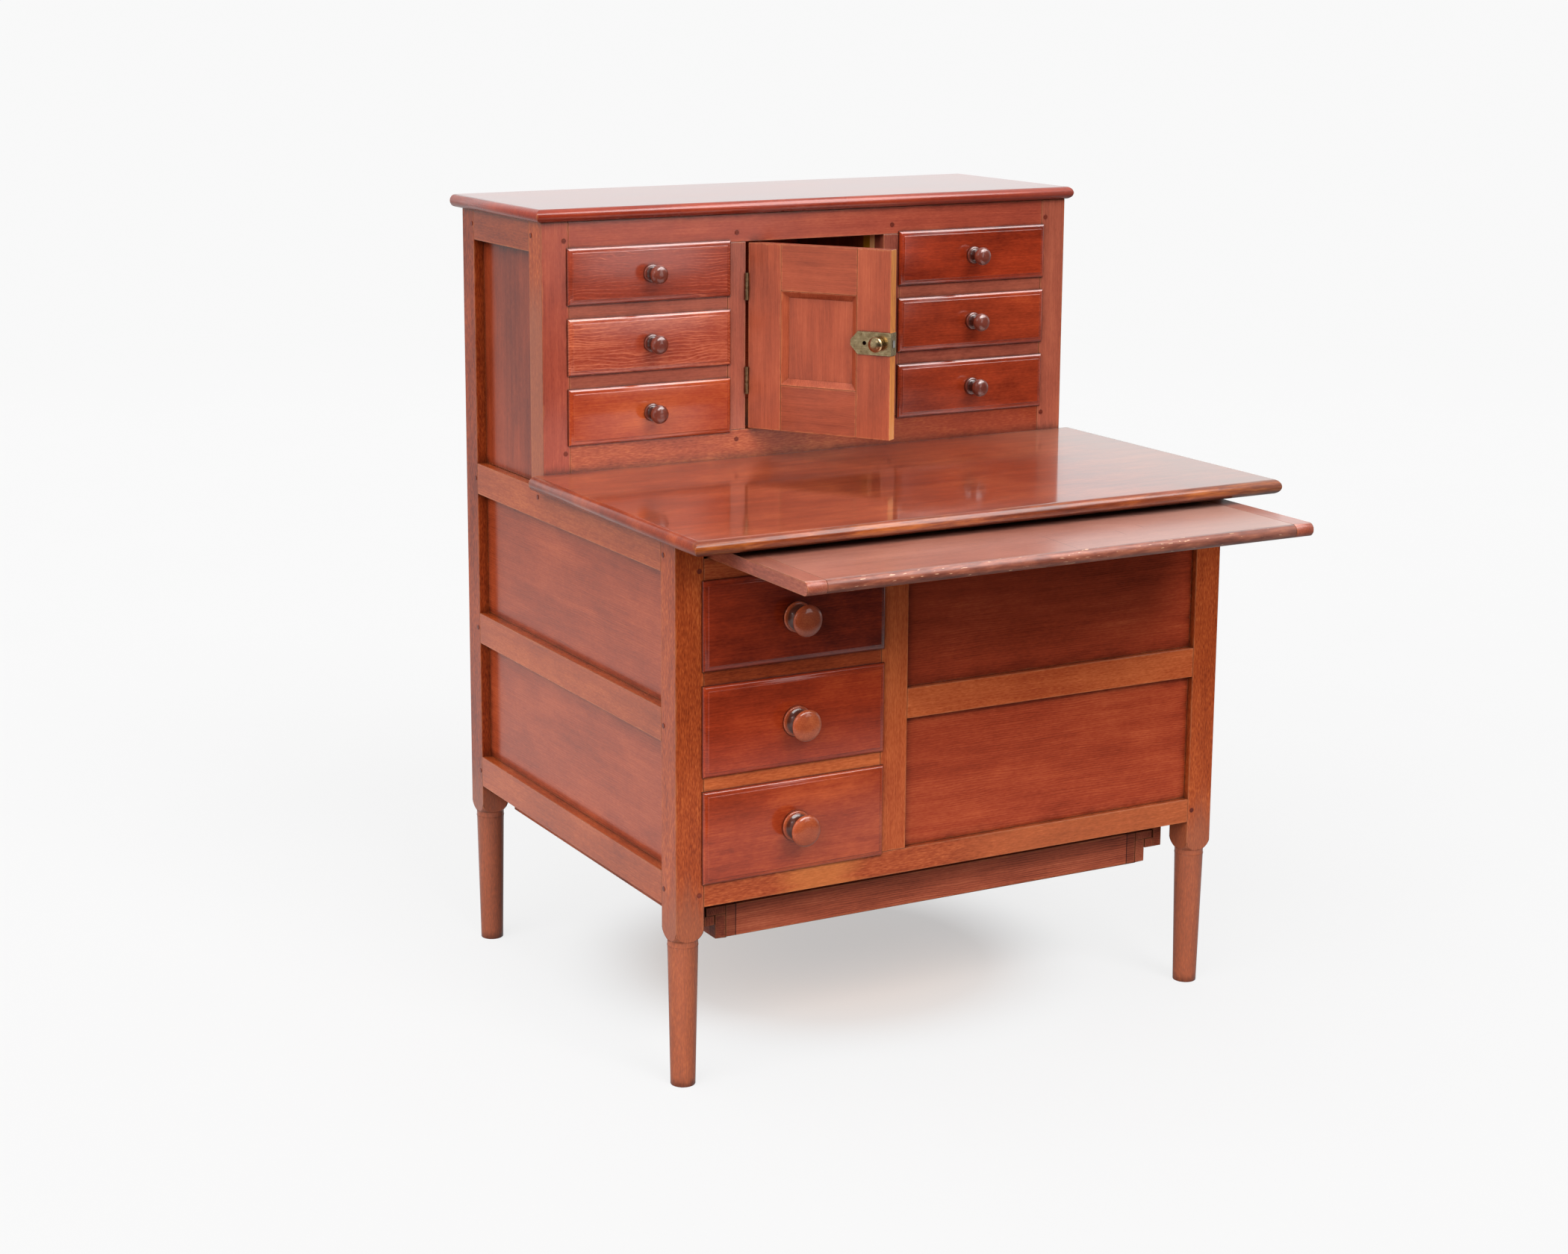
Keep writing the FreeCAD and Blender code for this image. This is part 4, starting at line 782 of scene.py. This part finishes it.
# Turned knobs: half sections in millimetres, radius and height, of the rimmed flange, the waisted neck
# and the domed head
BIG_KNOB = (
    [(16.6, 0.0), (17.8, 0.6), (18.2, 1.7), (17.8, 2.8), (16.8, 3.5), (15.9, 3.6)],
    [(15.9, 3.6), (12.4, 5.6), (9.8, 8.8), (8.6, 12.4), (8.6, 15.6), (9.8, 18.4), (12.0, 20.2)],
    [
        (12.0, 20.2), (14.6, 20.9), (17.0, 22.1), (18.5, 23.5), (18.8, 24.6), (18.1, 26.0), (15.9, 27.5),
        (12.4, 28.4), (7.5, 28.9), (3.0, 29.0), (0.0, 29.0),
    ],
)
SMALL_KNOB = (
    [(9.6, 0.0), (10.6, 0.5), (11.0, 1.5), (10.5, 2.6), (9.4, 3.2), (8.4, 3.3)],
    [(8.4, 3.3), (7.0, 4.6), (5.9, 7.2), (5.6, 10.2), (5.7, 12.6), (6.5, 14.6), (7.9, 15.8)],
    [
        (7.9, 15.8), (9.6, 16.9), (11.0, 18.7), (11.6, 20.8), (11.3, 22.9), (10.1, 24.9), (8.0, 26.4),
        (5.2, 27.2), (2.4, 27.5), (0.0, 27.5),
    ],
)
KNOB_SIDES = 56
CURVE_STEPS = 3
PER_METRE = 1000


def smooth_curve(points, steps):
    """A line through the points that turns smoothly at each of them."""
    ends = [points[0]] + points + [points[-1]]
    line = []
    for four in zip(ends, ends[1:], ends[2:], ends[3:]):
        for step in range(steps):
            u = step / steps
            line.append(tuple(
                0.5 * (
                    2 * q + (r - p) * u + (2 * p - 5 * q + 4 * r - s) * u * u
                    + (3 * q - p - 3 * r + s) * u ** 3
                )
                for p, q, r, s in zip(*four)
            ))
    return line + [points[-1]]


def turned_form(sections, places, outward, across, upward):
    """One closed lathe form at each place, standing outward from it."""
    line = []
    for section in sections:
        widest = max(radius for radius, height in section)
        highest = max(height for radius, height in section)
        for radius, height in smooth_curve(section, CURVE_STEPS)[:-1]:
            line.append((min(radius, widest), min(height, highest)))
    top = sections[-1][-1][1]
    points = []
    faces = []
    for place in places:
        start = len(points)
        points.append(place)
        for radius, height in line:
            for step in range(KNOB_SIDES):
                turn = math.tau * step / KNOB_SIDES
                swing = across * (math.cos(turn) * radius / PER_METRE)
                swing += upward * (math.sin(turn) * radius / PER_METRE)
                points.append(place + swing + outward * (height / PER_METRE))
        points.append(place + outward * (top / PER_METRE))
        end = len(points) - 1
        last = start + 1 + (len(line) - 1) * KNOB_SIDES
        for step in range(KNOB_SIDES):
            other = (step + 1) % KNOB_SIDES
            faces.append((start, start + 1 + other, start + 1 + step))
            for here in range(start + 1, last, KNOB_SIDES):
                above = here + KNOB_SIDES
                faces.append((here + step, here + other, above + other, above + step))
            faces.append((last + step, last + other, end))
    return points, faces


def turned_knobs(node):
    """Fine knobs in place of a node's coarser ones; a side drawer has one near each end."""
    low, high = (Vector(corner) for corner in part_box(node))
    middle = (low + high) / 2
    if node.startswith("side"):
        widest = max(radius for radius, height in BIG_KNOB[-1]) / PER_METRE
        places = [Vector((low.x, y, middle.z)) for y in (low.y + widest, high.y - widest)]
        outward, across = RIGHT, BACK
    else:
        places = [Vector((middle.x, high.y, middle.z))]
        outward, across = FORWARD, RIGHT
    sections = SMALL_KNOB if node.startswith("gallery") else BIG_KNOB
    points, faces = turned_form(sections, places, outward, across, UP)
    new_piece(node, "turned_" + node, points, faces)


# A drawer front's rim in millimetres, inset and depth: a rounded edge that runs out flat to a small step
RIM = [
    (0.0, 6.0), (0.0, 4.9), (0.12, 4.3), (0.5, 3.65), (1.1, 3.05), (2.0, 2.4), (3.0, 1.82), (4.0, 1.36),
    (5.0, 1.04), (5.9, 0.86), (6.05, 0.7), (6.25, 0.3), (6.6, 0.06), (7.2, 0.0),
]
# What lies further back in a front than this is the part that fits into the opening
LIP_DEPTH = 0.0065
SHARP_ANGLE = math.radians(38)


def moulded_drawer(node):
    """A drawer whose front has a moulded rim; its other boards stay as they are."""
    source = NODES[node].data
    outward, across = (RIGHT, BACK) if node.startswith("side") else (FORWARD, RIGHT)
    boards = {}
    for face, solid in zip(source.polygons, solid_of_each_face(source)):
        places = [source.vertices[v].co.copy() for v in face.vertices]
        boards.setdefault(solid, []).append(places)
    reach = {
        solid: max(outward.dot(place) for places in board for place in places)
        for solid, board in boards.items()
    }
    front = max(reach, key=reach.get)
    plane = reach[front]
    whole = [place for places in boards.pop(front) for place in places]
    inner = [place for place in whole if plane - outward.dot(place) > LIP_DEPTH]
    back = max(plane - outward.dot(place) for place in whole)
    points = []

    def ring(places, inset, depth):
        """Four corners round these places, moved in and set back from the front."""
        sides = [across.dot(place) for place in places]
        heights = [place.z for place in places]
        low, high = min(sides) + inset, max(sides) - inset
        bottom, top = min(heights) + inset, max(heights) - inset
        for side, height in ((low, bottom), (high, bottom), (high, top), (low, top)):
            points.append(across * side + UP * height + outward * (plane - depth))

    ring(inner, 0.0, back)
    ring(inner, 0.0, RIM[0][1] / PER_METRE)
    for inset, depth in RIM:
        ring(whole, inset / PER_METRE, depth / PER_METRE)
    last = len(points) - 4
    faces = [(3, 2, 1, 0)]
    for start in range(0, last, 4):
        for corner in range(4):
            here = start + corner
            other = start + (corner + 1) % 4
            faces.append((here, other, other + 4, here + 4))
    faces.append((last, last + 1, last + 2, last + 3))
    for board in boards.values():
        for places in board:
            faces.append(tuple(range(len(points), len(points) + len(places))))
            points.extend(places)
    made = new_piece(node, "moulded_" + node, points, faces)
    made.data.set_sharp_from_angle(angle=SHARP_ANGLE)


for name, obj in NODES.items():
    give_grain(obj, name)
    obj.data.materials.clear()
    obj.data.materials.append(material_for(name))
    if name in NOSES:
        add_material(obj.data, NOSES[name], lambda normal: abs(normal.z) < LEVEL_NORMAL)
    # the stile's sides are stained like the posts
    if name == "gallery_stile_left":
        add_material(obj.data, post_wood, lambda normal: abs(normal.x) > SIDEWAYS_NORMAL)
    if name not in UNEASED_NODES and "knob" not in name:
        soften(obj)
    if "knob" in name and "drawer" in name:
        turned_knobs(name)
    elif "drawer" in name:
        moulded_drawer(name)

# Floor: it glows as bright as the background, mixed with its lit matt surface more away from the desk,
# so that the desk's shadow stays soft and pale

BACKGROUND = 0.945
WHITE = grey(1.0)
FLOOR_FRONT = -1.42
FLOOR_REACH = 12
DESK_MIDDLE = (-0.02, 0.1)
PAINTED_BOUNCE_TINT = (0.74, 0.46, 0.3, 1.0)


def floor_material():
    """A pale matt floor that turns into the plain background away from the desk."""
    s = Shade(bpy.data.materials.new("studio_floor"))
    place = s.add("ShaderNodeTexCoord").outputs["Object"]
    sides = s.split(place)
    distance = s.vector("LENGTH", place, output="Value")
    from_desk = s.vector("ADD", place, (-DESK_MIDDLE[0], -DESK_MIDDLE[1], 0.0))
    from_desk = s.vector("LENGTH", from_desk, output="Value")

    # matt, slightly mottled, and tinted warm right below the desk: painted light for the light the wood
    # throws down
    mottle = s.noise(place, scale=3.0, detail=3.0)
    colour = s.ramp(mottle, [(0.3, grey(0.602)), (0.7, grey(0.616))])
    colour = s.mix(s.smooth(from_desk, 0.1, 0.33, 0.6, 0.0), colour, PAINTED_BOUNCE_TINT)
    feeds = {"Height": s.noise(place, scale=400.0), "Distance": 0.0003, "Strength": 0.1}
    bump = s.add("ShaderNodeBump", feeds).outputs[0]
    matt = s.add("ShaderNodeBsdfDiffuse", {"Color": colour, "Normal": bump}).outputs[0]

    # mirrored in the wood it is darker near the desk, far to the right and far in front
    path = s.add("ShaderNodeLightPath").outputs
    clear = s.math("MAXIMUM", path["Is Camera Ray"], path["Is Transmission Ray"])
    mirrored = s.times(
        s.smooth(distance, 1.4, 3.6, 0.9, 0.6),
        s.smooth(distance, 0.35, 1.0, 0.35, 1.0),
        s.smooth(sides[0], 0.3, 1.1, 1.0, 0.25),
        s.smooth(sides[1], -0.4, -0.9, 1.0, 0.65),
        s.smooth(sides[1], -1.0, -1.35, 1.0, 0.08),
    )
    strength = s.math("ADD", s.times(clear, BACKGROUND), s.times(path["Is Glossy Ray"], mirrored))
    glow = s.add("ShaderNodeEmission", {"Color": WHITE, "Strength": strength}).outputs[0]
    # painted light: the floor glows more away from the desk, which keeps the desk's shadow small and
    # pale
    near_glow = s.smooth(from_desk, 0.14, 0.37, 0.4, 0.84)
    far_glow = s.smooth(distance, 2.0, 6.5, 0.5, 1.0)
    feeds = {0: s.math("MAXIMUM", near_glow, far_glow), 1: matt, 2: glow}
    looked_at = s.add("ShaderNodeMixShader", feeds).outputs[0]

    # the desk gets little light back from the floor, as in a room where only a strip of it is pale
    dull = s.add("ShaderNodeBsdfDiffuse", {"Color": grey(0.25)}).outputs[0]
    feeds = {0: s.math("MAXIMUM", clear, path["Is Glossy Ray"]), 1: dull, 2: looked_at}
    s.add("ShaderNodeOutputMaterial", {0: s.add("ShaderNodeMixShader", feeds).outputs[0]})
    return s.owner


floor_mesh = bpy.data.meshes.new("studio_floor")
corners = [
    (-FLOOR_REACH, FLOOR_FRONT, 0), (FLOOR_REACH, FLOOR_FRONT, 0),
    (FLOOR_REACH, FLOOR_REACH, 0), (-FLOOR_REACH, FLOOR_REACH, 0),
]
floor_mesh.from_pydata(corners, [], [(0, 1, 2, 3)])
floor_mesh.materials.append(floor_material())
floor = put_in_scene("studio_floor", floor_mesh)

# Light: a soft key from the front, a very wide fill from the left, a lamp high at the left, a pale room,
# and four screens that are seen only where the varnish and the brass mirror them


def sun(name, azimuth, elevation, strength, width, mirrored=True):
    """A soft far lamp; its azimuth is counted from the front towards the right, in degrees."""
    light = bpy.data.lights.new(name, "SUN")
    light.energy = strength
    light.angle = math.radians(width)
    lamp = put_in_scene(name, light)
    a = math.radians(azimuth)
    e = math.radians(elevation)
    towards = Vector((math.sin(a) * math.cos(e), -math.cos(a) * math.cos(e), math.sin(e)))
    lamp.rotation_euler = towards.to_track_quat("Z", "Y").to_euler()
    lamp.visible_glossy = mirrored


def screen(name, place, target, wide, high, glow):
    """A rectangle turned to the target, seen only in mirror images; its face is as bright as glow."""
    light = bpy.data.lights.new(name, "AREA")
    light.shape = "RECTANGLE"
    light.size = wide
    light.size_y = high
    light.energy = glow * math.pi * wide * high
    lamp = put_in_scene(name, light)
    lamp.location = place
    lamp.rotation_euler = (Vector(place) - Vector(target)).to_track_quat("Z", "Y").to_euler()
    lamp.visible_camera = False
    lamp.visible_diffuse = False


sun("key_lamp", 8, 42, 1.95, 30)
sun("fill_lamp", -60, 30, 3.2, 60, mirrored=False)
sun("top_lamp", -100, 74, 0.85, 50, mirrored=False)
screen("left_screen", (-2.6, -1.9, 2.3), (0.0, -0.2, 0.6), 0.9, 0.9, 3.0)
screen("ceiling_screen", (1.3, -1.2, 3.0), (0.1, -0.2, 0.6), 2.4, 2.2, 8.5)
screen("front_screen", (2.1, -3.4, 2.85), (-0.1, -0.2, 0.5), 1.8, 1.1, 5.0)
screen("white_screen", (1.645, -3.744, 1.25), (0.145, 0.056, 0.8), 0.85, 1.7, 1.9)


def light_room():
    """The room as it is looked at, as it lights the desk, and as the wood mirrors it."""
    world = bpy.data.worlds.new("studio")
    scene.world = world
    s = Shade(world)
    path = s.add("ShaderNodeLightPath").outputs
    direction = s.split(s.add("ShaderNodeTexCoord").outputs["Generated"])
    # mirrored in the wood, the side of the room behind the camera is dark
    mirrored = s.smooth(direction[1], -0.25, -0.65, BACKGROUND, 0.04)
    mirrored = s.times(mirrored, s.smooth(direction[0], -0.1, -0.5, 1.0, 0.7))
    ambient = s.smooth(direction[2], -0.1, 0.7, 0.08, 0.5)
    seen, around, in_wood = (
        s.add("ShaderNodeBackground", {"Color": WHITE, "Strength": strength}).outputs[0]
        for strength in (BACKGROUND, ambient, mirrored)
    )
    feeds = {0: path["Is Glossy Ray"], 1: around, 2: in_wood}
    lit = s.add("ShaderNodeMixShader", feeds).outputs[0]
    clear = s.math("MAXIMUM", path["Is Camera Ray"], path["Is Transmission Ray"])
    whole = s.add("ShaderNodeMixShader", {0: clear, 1: lit, 2: seen}).outputs[0]
    s.add("ShaderNodeOutputWorld", {0: whole})


light_room()

# Camera, fitted to the photograph's corners

CAMERA_PLACE = (-1.73855, -2.8387, 1.2726)
CAMERA_YAW = math.radians(27.65)
CAMERA_PITCH = math.radians(-11.31)

camera_data = bpy.data.cameras.new("camera")
camera_data.sensor_width = 36.0
camera_data.lens = 62.79
camera_data.shift_x = 0.0525
camera_data.shift_y = -0.0714
camera_data.clip_end = 60.0
camera = put_in_scene("camera", camera_data)
camera.location = CAMERA_PLACE
view = Vector((
    math.sin(CAMERA_YAW) * math.cos(CAMERA_PITCH),
    math.cos(CAMERA_YAW) * math.cos(CAMERA_PITCH),
    math.sin(CAMERA_PITCH),
))
camera.rotation_euler = view.to_track_quat("-Z", "Y").to_euler()
scene.camera = camera
scene.view_settings.view_transform = "Standard"
